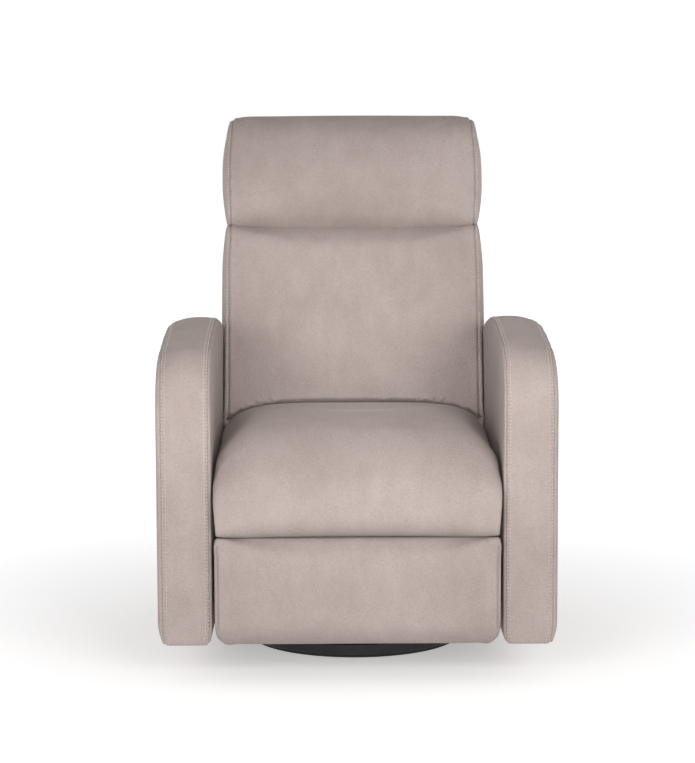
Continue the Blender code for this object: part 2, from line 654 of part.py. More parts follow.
def build_seat(cloth, wood, steel, spring_steel):
    """The seat frame with its springs and side rails, and the cushion with its front roll."""
    y0, y1 = SEAT_FRAME_Y
    z0, z1 = SEAT_FRAME_Z
    half = SEAT_FRAME_HALF_WIDTH
    frame = block("seat_frame", (-half, y0, z0), (half, y1, z1), wood)
    rail = SEAT_RAIL_WIDTH
    cut(frame, block("seat_opening", (-half + rail, y0 + rail, z0 - 0.01), (half - rail, y1 - rail, z1 + 0.01), wood))
    for number in range(SEAT_SPRING_COUNT):
        x = SEAT_SPRING_SPACING * (number - (SEAT_SPRING_COUNT - 1) / 2)
        start, end = y0 + rail * 0.4, y1 - rail * 0.4
        loops = round((end - start) / SPRING_LOOP_PITCH)
        steps = loops * 6
        height = z1 + FIXED_GAP + SPRING_WIRE_R
        points = [
            (x + SPRING_LOOP_HALF_WIDTH * math.sin(2 * math.pi * loops * step / steps),
             start + (end - start) * step / steps, height)
            for step in range(steps + 1)
        ]
        wire(f"seat_spring_{number + 1}", points, SPRING_WIRE_R, spring_steel)
    slide = Vector((math.cos(SEAT_SLIDE_RISE), -math.sin(SEAT_SLIDE_RISE))) * SEAT_SLIDE_TRAVEL
    low, high = z0 - 0.006, z1 - 0.006
    rail_outline = rounded([
        (y0 + 0.040, low, 0.010), (SEAT_PIN_Y[1] + 0.075, low, 0.020),
        (BACK_PIVOT[0] + 0.012, BACK_PIVOT[1] - 0.026, 0.014),
        (BACK_PIVOT[0] + 0.018, BACK_PIVOT[1] + 0.018, 0.014), (BACK_PIVOT[0] - 0.018, BACK_PIVOT[1] + 0.018, 0.014),
        (SEAT_PIN_Y[1] + 0.080, high, 0.020), (y0 + 0.040, high, 0.010),
    ])
    for side, label in ((-1, "left"), (1, "right")):
        inner, outer = side * SEAT_RAIL_INNER_X, side * SEAT_RAIL_OUTER_X
        seat_rail = prism(f"seat_rail_{label}", rail_outline, inner, outer, steel)
        for y in SEAT_PIN_Y:
            start = Vector((y, SEAT_PIN_Z))
            slot = capsule(start, start + slide, SEAT_PIN_R + PIN_GAP)
            cut(seat_rail, prism("seat_slot", slot, inner - side * 0.002, outer + side * 0.002, steel))
        weld = side * (SEAT_RAIL_INNER_X + PLATE_THICKNESS / 2)
        stud_end = side * (BRACKET_INNER_X + 0.0002)
        join(seat_rail, rod("back_stud", BACK_PIVOT, BACK_PIN_R, weld, stud_end, steel))
    roll_back = SEAT_FRONT_Y + SEAT_ROLL_DEPTH
    cushion = prism("seat_cushion", rounded([
        (SEAT_FRONT_Y + 0.003, SEAT_ROLL_BOTTOM_Z, 0.024), (roll_back, SEAT_ROLL_BOTTOM_Z + 0.012, 0.012),
        (roll_back, SEAT_CUSHION_BOTTOM_Z, 0.004), (SEAT_TOP_REAR_Y - 0.020, SEAT_CUSHION_BOTTOM_Z, 0.012),
        (SEAT_TOP_REAR_Y, SEAT_TOP_Z - 0.014, 0.030), (-0.280, SEAT_TOP_Z + 0.002, 0.400),
        (SEAT_FRONT_Y, SEAT_TOP_Z - 0.012, 0.075),
    ], steps=4), -SOFT_HALF_WIDTH, SOFT_HALF_WIDTH, cloth)
    soften(cushion, 0.008)


def build_back(cloth, wood, steel, web_finish):
    """Frame, webs and hinge brackets inside a padded shell, with two cushions on the front."""
    half = BACK_FRAME_HALF_WIDTH
    rear, front = BACK_FRAME_DEPTH
    top = BACK_LENGTH - 0.042
    frame = prism("back_frame", back_outline([
        (rear, 0.004, 0), (front, 0.004, 0), (front, top, 0), (rear, top, 0),
    ]), -half, half, wood)
    rail = BACK_FRAME_RAIL
    opening = back_outline([
        (rear - 0.01, rail, 0), (front + 0.01, rail, 0), (front + 0.01, top - rail, 0), (rear - 0.01, top - rail, 0),
    ])
    cut(frame, prism("back_opening", opening, -half + rail, half - rail, wood))
    for number, along in enumerate(WEB_POSITIONS):
        low, high = front + FIXED_GAP, front + FIXED_GAP + WEB_THICKNESS
        prism(f"back_web_{number + 1}", back_outline([
            (low, along, 0), (high, along, 0), (high, along + WEB_HEIGHT, 0), (low, along + WEB_HEIGHT, 0),
        ]), -half + 0.012, half - 0.012, web_finish)
    for side, label in ((-1, "left"), (1, "right")):
        inner, outer = side * BRACKET_INNER_X, side * BRACKET_OUTER_X
        bracket = prism(
            f"back_bracket_{label}", capsule(back_point(0, 0), back_point(-0.005, BRACKET_LENGTH), BRACKET_HALF_WIDTH),
            inner, outer, steel,
        )
        drill(bracket, BACK_PIVOT, BACK_PIN_R + PIN_GAP, inner, outer)
    build_back_shell(cloth, top)
    seam = front + 2 * FIXED_GAP + WEB_THICKNESS + 0.0002
    cushion = prism("back_cushion", back_outline([
        (seam, BACK_CUSHION_START, 0.010), (BACK_CUSHION_DEPTH - 0.004, BACK_CUSHION_START, 0.035),
        (BACK_CUSHION_DEPTH, 0.150, 0.300), (BACK_CUSHION_DEPTH - 0.014, HEADREST_START - 0.004, 0.030),
        (seam, HEADREST_START - 0.004, 0.010),
    ]), -SOFT_HALF_WIDTH, SOFT_HALF_WIDTH, cloth)
    soften(cushion, 0.008)
    headrest = prism("headrest_cushion", back_outline([
        (seam, HEADREST_START, 0.010), (HEADREST_DEPTH - 0.012, HEADREST_START, 0.034),
        (HEADREST_DEPTH, HEADREST_START + 0.110, 0.200), (HEADREST_DEPTH - 0.026, BACK_LENGTH, 0.060),
        (seam, BACK_LENGTH - 0.006, 0.020),
    ]), -HEADREST_HALF_WIDTH, HEADREST_HALF_WIDTH, cloth)
    soften(headrest, 0.008)


def build_back_shell(cloth, frame_top):
    """The padded outer back: a rear wall, a top wall and two side walls round the frame."""
    rear, front = BACK_FRAME_DEPTH
    wall = BACK_SHELL_WALL
    outer_rear = rear - 2 * wall
    top = BACK_LENGTH - 0.020
    half = BACK_SHELL_HALF_WIDTH
    shell = prism("back_shell", back_outline([
        (outer_rear, -0.030, 0.014), (rear - FIXED_GAP, -0.030, 0.004), (rear - FIXED_GAP, BACK_SHELL_SIDE_START, 0.004),
        (front, BACK_SHELL_SIDE_START, 0.006), (front, top, 0.006), (outer_rear, top, 0.034),
    ]), -half, half, cloth)
    soften(shell, 0.006, segments=2)
    pocket_half = BRACKET_OUTER_X + 0.0008
    pocket = prism("back_pocket", back_outline([
        (rear - FIXED_GAP, -0.060, 0), (front + 0.020, -0.060, 0), (front + 0.020, frame_top + FIXED_GAP, 0),
        (rear - FIXED_GAP, frame_top + FIXED_GAP, 0),
    ]), -pocket_half, pocket_half, cloth)
    cut(shell, pocket)


def tong_link(name, a, b, layer, side, finish):
    """A flat link between two pivots, in a layer counted inwards from the side plate."""
    outer = PLATE_INNER_X - METAL_GAP - layer * TONG_LAYER_STEP
    inner = outer - TONG_LINK_THICKNESS
    return prism(name, capsule(a, b, TONG_LINK_HALF_WIDTH), side * inner, side * outer, finish)


def layer_x(layer):
    """The middle of a layer of the footrest linkage; layer -1 is the side plate."""
    if layer < 0:
        return PLATE_INNER_X + PLATE_THICKNESS / 2
    return PLATE_INNER_X - METAL_GAP - layer * TONG_LAYER_STEP - TONG_LINK_THICKNESS / 2


def pin_through(owner, centre, from_layer, to_layer, side, finish):
    """A rivet fixed in one link that runs to the far face of the piece it carries."""
    step = 1 if to_layer > from_layer else -1
    end = layer_x(to_layer) - step * (TONG_LINK_THICKNESS / 2 + 0.0006)
    join(owner, rod("rivet", centre, TONG_PIN_R, side * layer_x(from_layer), side * end, finish, sides=12))


def eye(link, centre, layer, side):
    """The hole in a link for a neighbour's rivet."""
    half = TONG_LINK_THICKNESS / 2
    drill(link, centre, TONG_PIN_R + PIN_GAP, side * (layer_x(layer) - half), side * (layer_x(layer) + half), sides=16)


def build_footrest_linkage(steel):
    """Five links a side: two crossing pairs and a half link, between the side plate and the footrest."""
    top, low, middle, _ = tong_points()
    for side, label in ((-1, "left"), (1, "right")):
        drive = tong_link(f"tong_drive_link_{label}", top[0], low[1], 1, side, steel)
        guide = tong_link(f"tong_guide_link_{label}", low[0], top[1], 0, side, steel)
        lift = tong_link(f"tong_lift_link_{label}", low[1], top[2], 2, side, steel)
        reach = tong_link(f"tong_reach_link_{label}", top[1], low[2], 3, side, steel)
        stay = tong_link(f"tong_stay_link_{label}", low[2], middle[2], 2, side, steel)
        pin_through(drive, top[0], 1, -1, side, steel)
        pin_through(guide, low[0], 0, -1, side, steel)
        pin_through(drive, middle[0], 1, 0, side, steel)
        eye(guide, middle[0], 0, side)
        pin_through(drive, low[1], 1, 2, side, steel)
        eye(lift, low[1], 2, side)
        pin_through(guide, top[1], 0, 3, side, steel)
        eye(reach, top[1], 3, side)
        pin_through(reach, middle[1], 3, 2, side, steel)
        eye(lift, middle[1], 2, side)
        pin_through(reach, low[2], 3, 2, side, steel)
        eye(stay, low[2], 2, side)
        pin_through(lift, top[2], 2, 1, side, steel)
        pin_through(stay, middle[2], 2, 1, side, steel)


def build_footrest(cloth, wood, steel):
    """The footrest's brackets, board and pad."""
    top, _, middle, _ = tong_points()
    far, near = FOOTREST_Z
    board_z = (FOOTREST_Z[0] + 0.012, FOOTREST_Z[1] - 0.016)
    board_y = (SEAT_FRONT_Y + FOOTREST_PAD_THICKNESS + FIXED_GAP, BOARD_BACK_Y)
    half = SOFT_HALF_WIDTH - 0.008
    block("footrest_board", (-half, board_y[0], board_z[0]), (half, board_y[1], board_z[1]), wood)
    flange_y = BOARD_BACK_Y + FIXED_GAP
    knuckle = TONG_LINK_HALF_WIDTH
    outline = rounded([
        (flange_y, middle[2].y - 0.040, 0.004), (flange_y + 0.012, middle[2].y - 0.040, 0.004),
        (middle[2].x + knuckle * 0.8, middle[2].y - knuckle, knuckle * 0.8),
        (top[2].x + knuckle, top[2].y - 0.004, knuckle * 0.8),
        (top[2].x + knuckle * 0.4, top[2].y + knuckle, knuckle * 0.8),
        (flange_y, top[2].y + 0.004, 0.004),
    ])
    outer = layer_x(1) + TONG_LINK_THICKNESS / 2
    inner = layer_x(1) - TONG_LINK_THICKNESS / 2
    for side, label in ((-1, "left"), (1, "right")):
        bracket = prism(f"footrest_bracket_{label}", outline, side * inner, side * outer, steel)
        flange = prism("bracket_flange", [
            (flange_y, middle[2].y - 0.040), (flange_y + 0.003, middle[2].y - 0.040),
            (flange_y + 0.003, top[2].y + 0.002), (flange_y, top[2].y + 0.002),
        ], side * (inner - 0.024), side * (outer - 0.0005), steel)
        join(bracket, flange)
        eye(bracket, top[2], 1, side)
        eye(bracket, middle[2], 1, side)
    pad = prism("footrest_pad", rounded([
        (SEAT_FRONT_Y + 0.001, far, 0.024), (board_y[0] - FIXED_GAP, far + 0.008, 0.006),
        (board_y[0] - FIXED_GAP, near - 0.010, 0.006), (SEAT_FRONT_Y + 0.001, near, 0.024),
    ]), -SOFT_HALF_WIDTH, SOFT_HALF_WIDTH, cloth)
    soften(pad, 0.008)


def main():
    clear_scene()
    cloth = material("taupe_microsuede", (0.46, 0.39, 0.36), 0.85)
    steel = material("black_enamelled_steel", (0.02, 0.02, 0.02), 0.45, 0.6)
    bright = material("zinc_plated_steel", (0.55, 0.55, 0.56), 0.35, 1.0)
    brass = material("brass", (0.70, 0.55, 0.28), 0.35, 1.0)
    wood = material("plywood", (0.62, 0.47, 0.30), 0.70)
    plastic = material("black_plastic", (0.03, 0.03, 0.03), 0.50)
    web_finish = material("elastic_webbing", (0.12, 0.12, 0.13), 0.90)
    build_base(steel, plastic)
    build_bearing(bright, brass)
    build_turntable(steel)
    build_glide_links(bright)
    rear_y, reach = build_carriage(steel, wood, plastic)
    build_rear_panel(cloth, rear_y, reach)
    build_arms(cloth, wood, plastic)
    build_release_handle(plastic, steel, plastic)
    build_seat(cloth, wood, bright, bright)
    build_back(cloth, wood, bright, web_finish)
    build_footrest_linkage(bright)
    build_footrest(cloth, wood, bright)


main()
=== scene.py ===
"""Upholstered swivel glider recliner: soft covers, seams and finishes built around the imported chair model."""

from __future__ import annotations

import json
import logging
import math
from dataclasses import dataclass
from enum import Enum
from typing import Callable, Iterable, Sequence

import bmesh
import bpy
import numpy as np
from mathutils import Matrix, Vector
from mathutils.bvhtree import BVHTree
from mathutils.kdtree import KDTree


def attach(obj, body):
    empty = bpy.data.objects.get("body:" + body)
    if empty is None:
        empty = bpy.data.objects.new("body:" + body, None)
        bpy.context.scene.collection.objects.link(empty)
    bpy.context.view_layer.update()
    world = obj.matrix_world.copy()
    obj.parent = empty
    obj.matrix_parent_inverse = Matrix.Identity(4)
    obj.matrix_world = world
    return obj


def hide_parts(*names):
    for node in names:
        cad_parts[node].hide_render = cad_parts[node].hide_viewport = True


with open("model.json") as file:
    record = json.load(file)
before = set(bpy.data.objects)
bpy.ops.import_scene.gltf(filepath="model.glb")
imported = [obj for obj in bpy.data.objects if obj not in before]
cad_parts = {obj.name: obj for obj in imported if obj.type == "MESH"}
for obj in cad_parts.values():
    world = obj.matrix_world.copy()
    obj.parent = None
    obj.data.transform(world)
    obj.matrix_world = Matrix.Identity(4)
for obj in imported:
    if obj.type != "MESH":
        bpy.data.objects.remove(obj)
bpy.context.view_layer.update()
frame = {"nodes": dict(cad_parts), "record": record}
LOG = logging.getLogger("glider")

Array = np.ndarray
Material = bpy.types.Material
Socket = bpy.types.NodeSocket
Point = tuple[float, float, float]
Corner = tuple[float, float, float]


# ---------------------------------------------------------------- finishes


class Grain(Enum):
    """The kinds of fine surface that a finish can have."""

    PEBBLE = "pebble"
    ENAMEL = "enamel"
    ZINC = "zinc"
    PLY = "ply"
    MOULDED = "moulded"
    WOVEN = "woven"


@dataclass(frozen=True)
class Finish:
    """One procedural finish, with constant values kept on the shader's own sockets.

    Attributes:
        name: material name.
        grain: which fine surface is built.
        light: colour of the raised or pale parts, linear RGB.
        dark: colour of the low or dark parts, linear RGB.
        roughness: middle of the roughness range.
        metallic: 1 for bare metal.
        sheen: weight of the soft pile's glow.
        bump: height of the fine surface in metres.
    """

    name: str
    grain: Grain
    light: tuple[float, float, float]
    dark: tuple[float, float, float]
    roughness: float
    metallic: float = 0.0
    sheen: float = 0.0
    bump: float = 0.0003

    def make(self) -> Material:
        """Returns the node material for this finish."""
        made = bpy.data.materials.new(self.name)
        made.use_nodes = True
        tree = made.node_tree
        shader = tree.nodes["Principled BSDF"]
        shader.inputs["Metallic"].default_value = self.metallic
        if self.sheen:
            shader.inputs["Sheen Weight"].default_value = self.sheen
            shader.inputs["Sheen Roughness"].default_value = 0.45
            shader.inputs["Sheen Tint"].default_value = (0.92, 0.86, 0.82, 1.0)
            shader.inputs["Specular IOR Level"].default_value = 0.22
        NodeWriter(tree, shader, self).write()
        return made


class NodeWriter:
    """Writes one finish's nodes into a material's tree."""

    def __init__(self, tree: bpy.types.NodeTree, shader: bpy.types.Node, finish: Finish) -> None:
        """Keeps the tree, its shader and the finish being written."""
        self.tree = tree
        self.shader = shader
        self.finish = finish
        self.place = tree.nodes.new("ShaderNodeTexCoord").outputs["Object"]

    def link(self, source: Socket, target: Socket) -> None:
        """Joins two sockets."""
        self.tree.links.new(source, target)

    def stretched(self, scale: Point, turn: Point = (0.0, 0.0, 0.0)) -> Socket:
        """Returns object coordinates scaled and turned."""
        mapping = self.tree.nodes.new("ShaderNodeMapping")
        mapping.inputs["Scale"].default_value = scale
        mapping.inputs["Rotation"].default_value = turn
        self.link(self.place, mapping.inputs["Vector"])
        return mapping.outputs["Vector"]

    def noise(
        self, scale: float, detail: float = 2.0, roughness: float = 0.5,
        vector: Socket | None = None, distortion: float = 0.0,
    ) -> Socket:
        """Returns a noise value between 0 and 1.

        Args:
            scale: noise cells per metre.
            detail: octaves.
            roughness: strength of the higher octaves.
            vector: coordinates, or None for plain object coordinates.
            distortion: how far the noise bends itself.

        Returns:
            The factor socket.
        """
        node = self.tree.nodes.new("ShaderNodeTexNoise")
        node.inputs["Scale"].default_value = scale
        node.inputs["Detail"].default_value = detail
        node.inputs["Roughness"].default_value = roughness
        node.inputs["Distortion"].default_value = distortion
        self.link(vector or self.place, node.inputs["Vector"])
        return node.outputs["Fac"]

    def pebbles(self, scale: float) -> Socket:
        """Returns the smooth distance to the nearest pebble's middle."""
        node = self.tree.nodes.new("ShaderNodeTexVoronoi")
        node.feature = "SMOOTH_F1"
        node.inputs["Scale"].default_value = scale
        node.inputs["Smoothness"].default_value = 0.6
        self.link(self.place, node.inputs["Vector"])
        return node.outputs["Distance"]

    def ramp(self, value: Socket, low: float, high: float, out: tuple[float, float]) -> Socket:
        """Maps value from (low, high) onto the out range, clamped."""
        node = self.tree.nodes.new("ShaderNodeMapRange")
        node.inputs["From Min"].default_value = low
        node.inputs["From Max"].default_value = high
        node.inputs["To Min"].default_value = out[0]
        node.inputs["To Max"].default_value = out[1]
        self.link(value, node.inputs["Value"])
        return node.outputs["Result"]

    def math(self, operation: str, a: Socket, b: Socket | float) -> Socket:
        """Returns a two-input maths result."""
        node = self.tree.nodes.new("ShaderNodeMath")
        node.operation = operation
        self.link(a, node.inputs[0])
        if isinstance(b, (int, float)):
            node.inputs[1].default_value = b
        else:
            self.link(b, node.inputs[1])
        return node.outputs[0]

    def mix(self, factor: Socket, a: object, b: object, blend: str = "MIX") -> Socket:
        """Returns a mixed colour; a and b are colours or sockets."""
        node = self.tree.nodes.new("ShaderNodeMix")
        node.data_type = "RGBA"
        node.blend_type = blend
        colours = [socket for socket in node.inputs if socket.type == "RGBA"]
        self.link(factor, node.inputs["Factor"])
        for socket, value in zip(colours, (a, b)):
            if isinstance(value, tuple):
                socket.default_value = (*value, 1.0)
            else:
                self.link(value, socket)
        return next(socket for socket in node.outputs if socket.type == "RGBA")

    def bump(
        self, height: Socket, distance: float, strength: float, normal: Socket | None = None,
    ) -> Socket:
        """Returns a bumped normal."""
        node = self.tree.nodes.new("ShaderNodeBump")
        node.inputs["Distance"].default_value = distance
        node.inputs["Strength"].default_value = strength
        self.link(height, node.inputs["Height"])
        if normal is not None:
            self.link(normal, node.inputs["Normal"])
        return node.outputs["Normal"]

    def two_tone(self, value: Socket, low: float, high: float) -> Socket:
        """Returns the finish's dark colour below low and its light colour above high."""
        return self.mix(self.ramp(value, low, high, (0.0, 1.0)), self.finish.dark, self.finish.light)

    def darkened(self, factor: Socket, colour: Socket, share: float) -> Socket:
        """Returns a colour mixed toward a share of the finish's dark colour, for grain, knots and painted
        shade.
        """
        return self.mix(factor, colour, tuple(share * part for part in self.finish.dark))

    def uneven(self, value: Socket, low: float, high: float, below: float, above: float) -> Socket:
        """Returns a roughness that runs from below to above the finish's own."""
        return self.ramp(value, low, high, (self.finish.roughness + below, self.finish.roughness + above))

    def connect(self, colour: Socket, roughness: Socket, normal: Socket) -> None:
        """Links the finished values to the shader."""
        for name, source in (("Base Color", colour), ("Roughness", roughness), ("Normal", normal)):
            self.link(source, self.shader.inputs[name])

    def write(self) -> None:
        """Builds the nodes for the finish's grain."""
        {
            Grain.PEBBLE: self.write_pebble,
            Grain.ENAMEL: self.write_enamel,
            Grain.ZINC: self.write_zinc,
            Grain.PLY: self.write_ply,
            Grain.MOULDED: self.write_moulded,
            Grain.WOVEN: self.write_woven,
        }[self.finish.grain]()

    def write_pebble(self) -> None:
        """Brushed microsuede: fine pebble grain and a cloudy nap, with painted shade from a point attribute
        along its seams, in the tuck at the foot of the back and under the rolls.
        """
        cloud = self.noise(7.0, 3.0, 0.55)
        brushed = self.noise(26.0, 4.0, 0.6, self.stretched((1.0, 0.7, 0.45)), 0.4)
        fleck = self.noise(520.0, 2.0, 0.6)
        pore = self.pebbles(360.0)
        nap = self.math("ADD", self.math("MULTIPLY", cloud, 0.55), self.math("MULTIPLY", brushed, 0.45))
        colour = self.two_tone(nap, 0.36, 0.64)
        pale_fleck = (0.74, 0.69, 0.66)
        colour = self.mix(self.ramp(fleck, 0.32, 0.72, (0.0, 0.65)), colour, pale_fleck, "SOFT_LIGHT")
        colour = self.darkened(self.ramp(pore, 0.25, 0.75, (0.0, 0.24)), colour, 0.62)
        # painted shade: a point attribute darkens the colour along seams, in the tuck at the foot of the back
        # and under the seat and pad rolls
        shade_attribute = self.tree.nodes.new("ShaderNodeAttribute")
        shade_attribute.attribute_name = "painted_shade"
        colour = self.darkened(shade_attribute.outputs["Fac"], colour, 0.42)
        grain = self.math("ADD", self.math("MULTIPLY", pore, -0.9), self.math("MULTIPLY", fleck, 0.5))
        soft = self.bump(self.noise(60.0, 3.0, 0.5), 0.0012, 0.35)
        normal = self.bump(grain, self.finish.bump, 1.0, soft)
        self.connect(colour, self.uneven(brushed, 0.3, 0.7, -0.06, 0.08), normal)

    def write_enamel(self) -> None:
        """Powder coat: fine orange peel, with dust that greys it slightly."""
        dust = self.noise(14.0, 4.0, 0.6)
        normal = self.bump(self.noise(700.0, 2.0), self.finish.bump, 0.3)
        self.connect(self.two_tone(dust, 0.4, 0.75), self.uneven(dust, 0.3, 0.7, -0.08, 0.10), normal)

    def write_zinc(self) -> None:
        """Zinc plate: cloudy passivation with fine drawn lines."""
        cloud = self.noise(40.0, 3.0, 0.6)
        drawn = self.noise(160.0, 3.0, 0.7, self.stretched((0.3, 6.0, 1.0)))
        normal = self.bump(drawn, self.finish.bump, 0.25)
        self.connect(self.two_tone(cloud, 0.35, 0.7), self.uneven(drawn, 0.3, 0.7, -0.10, 0.12), normal)

    def write_ply(self) -> None:
        """Plywood and softwood: long grain along X with darker growth lines and a few knots."""
        lines = self.noise(4.0, 6.0, 0.65, self.stretched((1.2, 22.0, 22.0)), 0.8)
        knots = self.noise(9.0, 2.0, 0.5, self.stretched((0.6, 2.5, 2.5)))
        normal = self.bump(lines, self.finish.bump, 0.4)
        colour = self.two_tone(lines, 0.35, 0.68)
        colour = self.darkened(self.ramp(knots, 0.66, 0.78, (0.0, 0.5)), colour, 0.45)
        self.connect(colour, self.uneven(lines, 0.3, 0.7, 0.08, -0.06), normal)

    def write_moulded(self) -> None:
        """Moulded plastic or rubber: spark-eroded grain and faint handling marks."""
        marks = self.noise(32.0, 4.0, 0.65)
        normal = self.bump(self.pebbles(900.0), self.finish.bump, 0.35)
        self.connect(self.two_tone(marks, 0.42, 0.72), self.uneven(marks, 0.3, 0.75, -0.07, 0.09), normal)

    def write_woven(self) -> None:
        """Woven webbing: ribs across and threads along the strap."""
        wave = self.tree.nodes.new("ShaderNodeTexWave")
        wave.bands_direction = "X"
        wave.inputs["Scale"].default_value = 160.0
        wave.inputs["Distortion"].default_value = 0.6
        self.link(self.place, wave.inputs["Vector"])
        rib = wave.outputs["Fac"]
        normal = self.bump(rib, self.finish.bump, 0.6)
        self.connect(self.two_tone(rib, 0.0, 1.0), self.uneven(rib, 0.0, 1.0, 0.0, -0.15), normal)


SUEDE = Finish(
    "taupe_microsuede", Grain.PEBBLE, (0.352, 0.298, 0.282), (0.292, 0.243, 0.227), 0.86, sheen=0.18,
    bump=0.0011,
)
THREAD = Finish("taupe_thread", Grain.WOVEN, (0.58, 0.51, 0.47), (0.42, 0.36, 0.33), 0.70, bump=0.0002)
SLOT_FINISHES = {
    "timber": Finish("frame_timber", Grain.PLY, (0.62, 0.46, 0.28), (0.40, 0.27, 0.15), 0.68, bump=0.0004),
    "webbing": Finish(
        "elastic_webbing", Grain.WOVEN, (0.085, 0.085, 0.092), (0.022, 0.022, 0.024), 0.88, bump=0.0004,
    ),
    "floor_strip": Finish(
        "black_rubber", Grain.MOULDED, (0.035, 0.034, 0.034), (0.016, 0.016, 0.016), 0.78, bump=0.0003,
    ),
    "black_plastic": Finish(
        "grained_black_plastic", Grain.MOULDED, (0.045, 0.045, 0.046), (0.018, 0.018, 0.019), 0.50,
        bump=0.0002,
    ),
    "brass": Finish(
        "pressed_brass", Grain.ZINC, (0.72, 0.56, 0.28), (0.50, 0.37, 0.17), 0.34, metallic=1.0, bump=0.0001,
    ),
    "black_enamel": Finish(
        "black_powder_coat", Grain.ENAMEL, (0.030, 0.029, 0.028), (0.008, 0.008, 0.008), 0.42, metallic=0.2,
        bump=0.0002,
    ),
    "zinc_steel": Finish(
        "zinc_plate", Grain.ZINC, (0.62, 0.62, 0.60), (0.42, 0.43, 0.44), 0.36, metallic=1.0, bump=0.0001,
    ),
}


# ---------------------------------------------------------------- shaping tools


@dataclass(frozen=True)
class Padding:
    """How a padded cover is blown up and finished.

    Attributes:
        voxel: size of the even mesh that is inflated.
        pressure: air pressure of the cloth step.
        cap: furthest that a point may move.
        frames: length of the cloth step.
        settle: rounds of smoothing before the cloth step.
    """

    voxel: float = 0.008
    pressure: float = 5.0
    cap: float = 0.012
    frames: int = 12
    settle: int = 3


def smooth_step(value: Array, low: float, high: float) -> Array:
    """Returns 0 below low, 1 above high, and an even ease between them."""
    t = np.clip((value - low) / (high - low), 0.0, 1.0)
    return t * t * (3.0 - 2.0 * t)


def spread(values: Array, low: float, high: float) -> Array:
    """Stretches values evenly so that they run from low to high."""
    return low + (values - values.min()) * (high - low) / (values.max() - values.min())


def bell(value: Array, middle: float, width: float) -> Array:
    """Returns a bell curve that is 1 at its middle."""
    return np.exp(-(((value - middle) / width) ** 2))


def add_profile(
    form: bmesh.types.BMesh, corners: Sequence[Corner], x_from: float, x_to: float, edge: float,
) -> None:
    """Adds a side profile extruded along X to a bmesh.

    Args:
        form: the bmesh to add to.
        corners: (y, z, reach) corners, each rounded over its reach along both edges.
        x_from: lower end along X.
        x_to: upper end along X.
        edge: width of the rounding along both ends.
    """
    verts = [form.verts.new((x_from, y, z)) for y, z, _ in corners]
    form.faces.new(verts)
    for vert, (_, _, reach) in zip(verts, corners):
        if reach > 0:
            bmesh.ops.bevel(
                form, geom=[vert], offset=reach, segments=5, profile=0.5, affect="VERTICES", material=-1,
            )
    form.faces.ensure_lookup_table()
    grown = bmesh.ops.extrude_face_region(form, geom=[form.faces[0]])
    moved = [item for item in grown["geom"] if isinstance(item, bmesh.types.BMVert)]
    bmesh.ops.translate(form, verts=moved, vec=(x_to - x_from, 0, 0))
    bmesh.ops.recalc_face_normals(form, faces=form.faces)
    if edge > 0:
        ends = [e for e in form.edges if abs(e.verts[0].co.x - e.verts[1].co.x) < 1e-6]
        bmesh.ops.bevel(
            form, geom=ends, offset=edge, segments=4, profile=0.5, affect="EDGES", material=-1,
            clamp_overlap=True,
        )


def new_object(name: str, form: bmesh.types.BMesh) -> bpy.types.Object:
    """Turns a bmesh into a smooth object at the origin and frees it."""
    mesh = bpy.data.meshes.new(name)
    form.to_mesh(mesh)
    form.free()
    mesh.shade_smooth()
    made = bpy.data.objects.new(name, mesh)
    bpy.context.scene.collection.objects.link(made)
    return made


def bake(piece: bpy.types.Object) -> None:
    """Makes a piece's modifiers permanent."""
    graph = bpy.context.evaluated_depsgraph_get()
    graph.update()
    mesh = bpy.data.meshes.new_from_object(piece.evaluated_get(graph), depsgraph=graph)
    piece.modifiers.clear()
    old = piece.data
    piece.data = mesh
    bpy.data.meshes.remove(old)


def box_cutter(low: Point, high: Point) -> bpy.types.Object:
    """Returns a box object between two corners, for a cut that is made permanent at once."""
    form = bmesh.new()
    size = [b - a for a, b in zip(low, high)]
    middle = [(a + b) / 2 for a, b in zip(low, high)]
    bmesh.ops.create_cube(form, size=1.0, matrix=Matrix.Translation(middle) @ Matrix.Diagonal((*size, 1.0)))
    return new_object("cutter", form)


def cut_away(piece: bpy.types.Object, cutter: bpy.types.Object) -> None:
    """Cuts a cutter's shape out of a piece and removes the cutter."""
    step = piece.modifiers.new("Cut", "BOOLEAN")
    step.operation = "DIFFERENCE"
    step.solver = "EXACT"
    step.object = cutter
    bake(piece)
    bpy.data.objects.remove(cutter)


@dataclass(frozen=True)
class Seam:
    """How deep one kind of seam is drawn into a cover, and how much shade is painted along it.

    Attributes:
        depth: depth of the groove.
        width: half its width.
        shade: how much shade is painted along its bottom, 0 to 1.
        ridge: height of the rise at each side, as a share of the depth.
    """

    depth: float
    width: float
    shade: float
    ridge: float = 0.5


@dataclass(frozen=True)
class Fabric:
    """The two materials of every cover.

    Attributes:
        suede: the cloth.
        thread: the topstitching.
    """

    suede: Material
    thread: Material


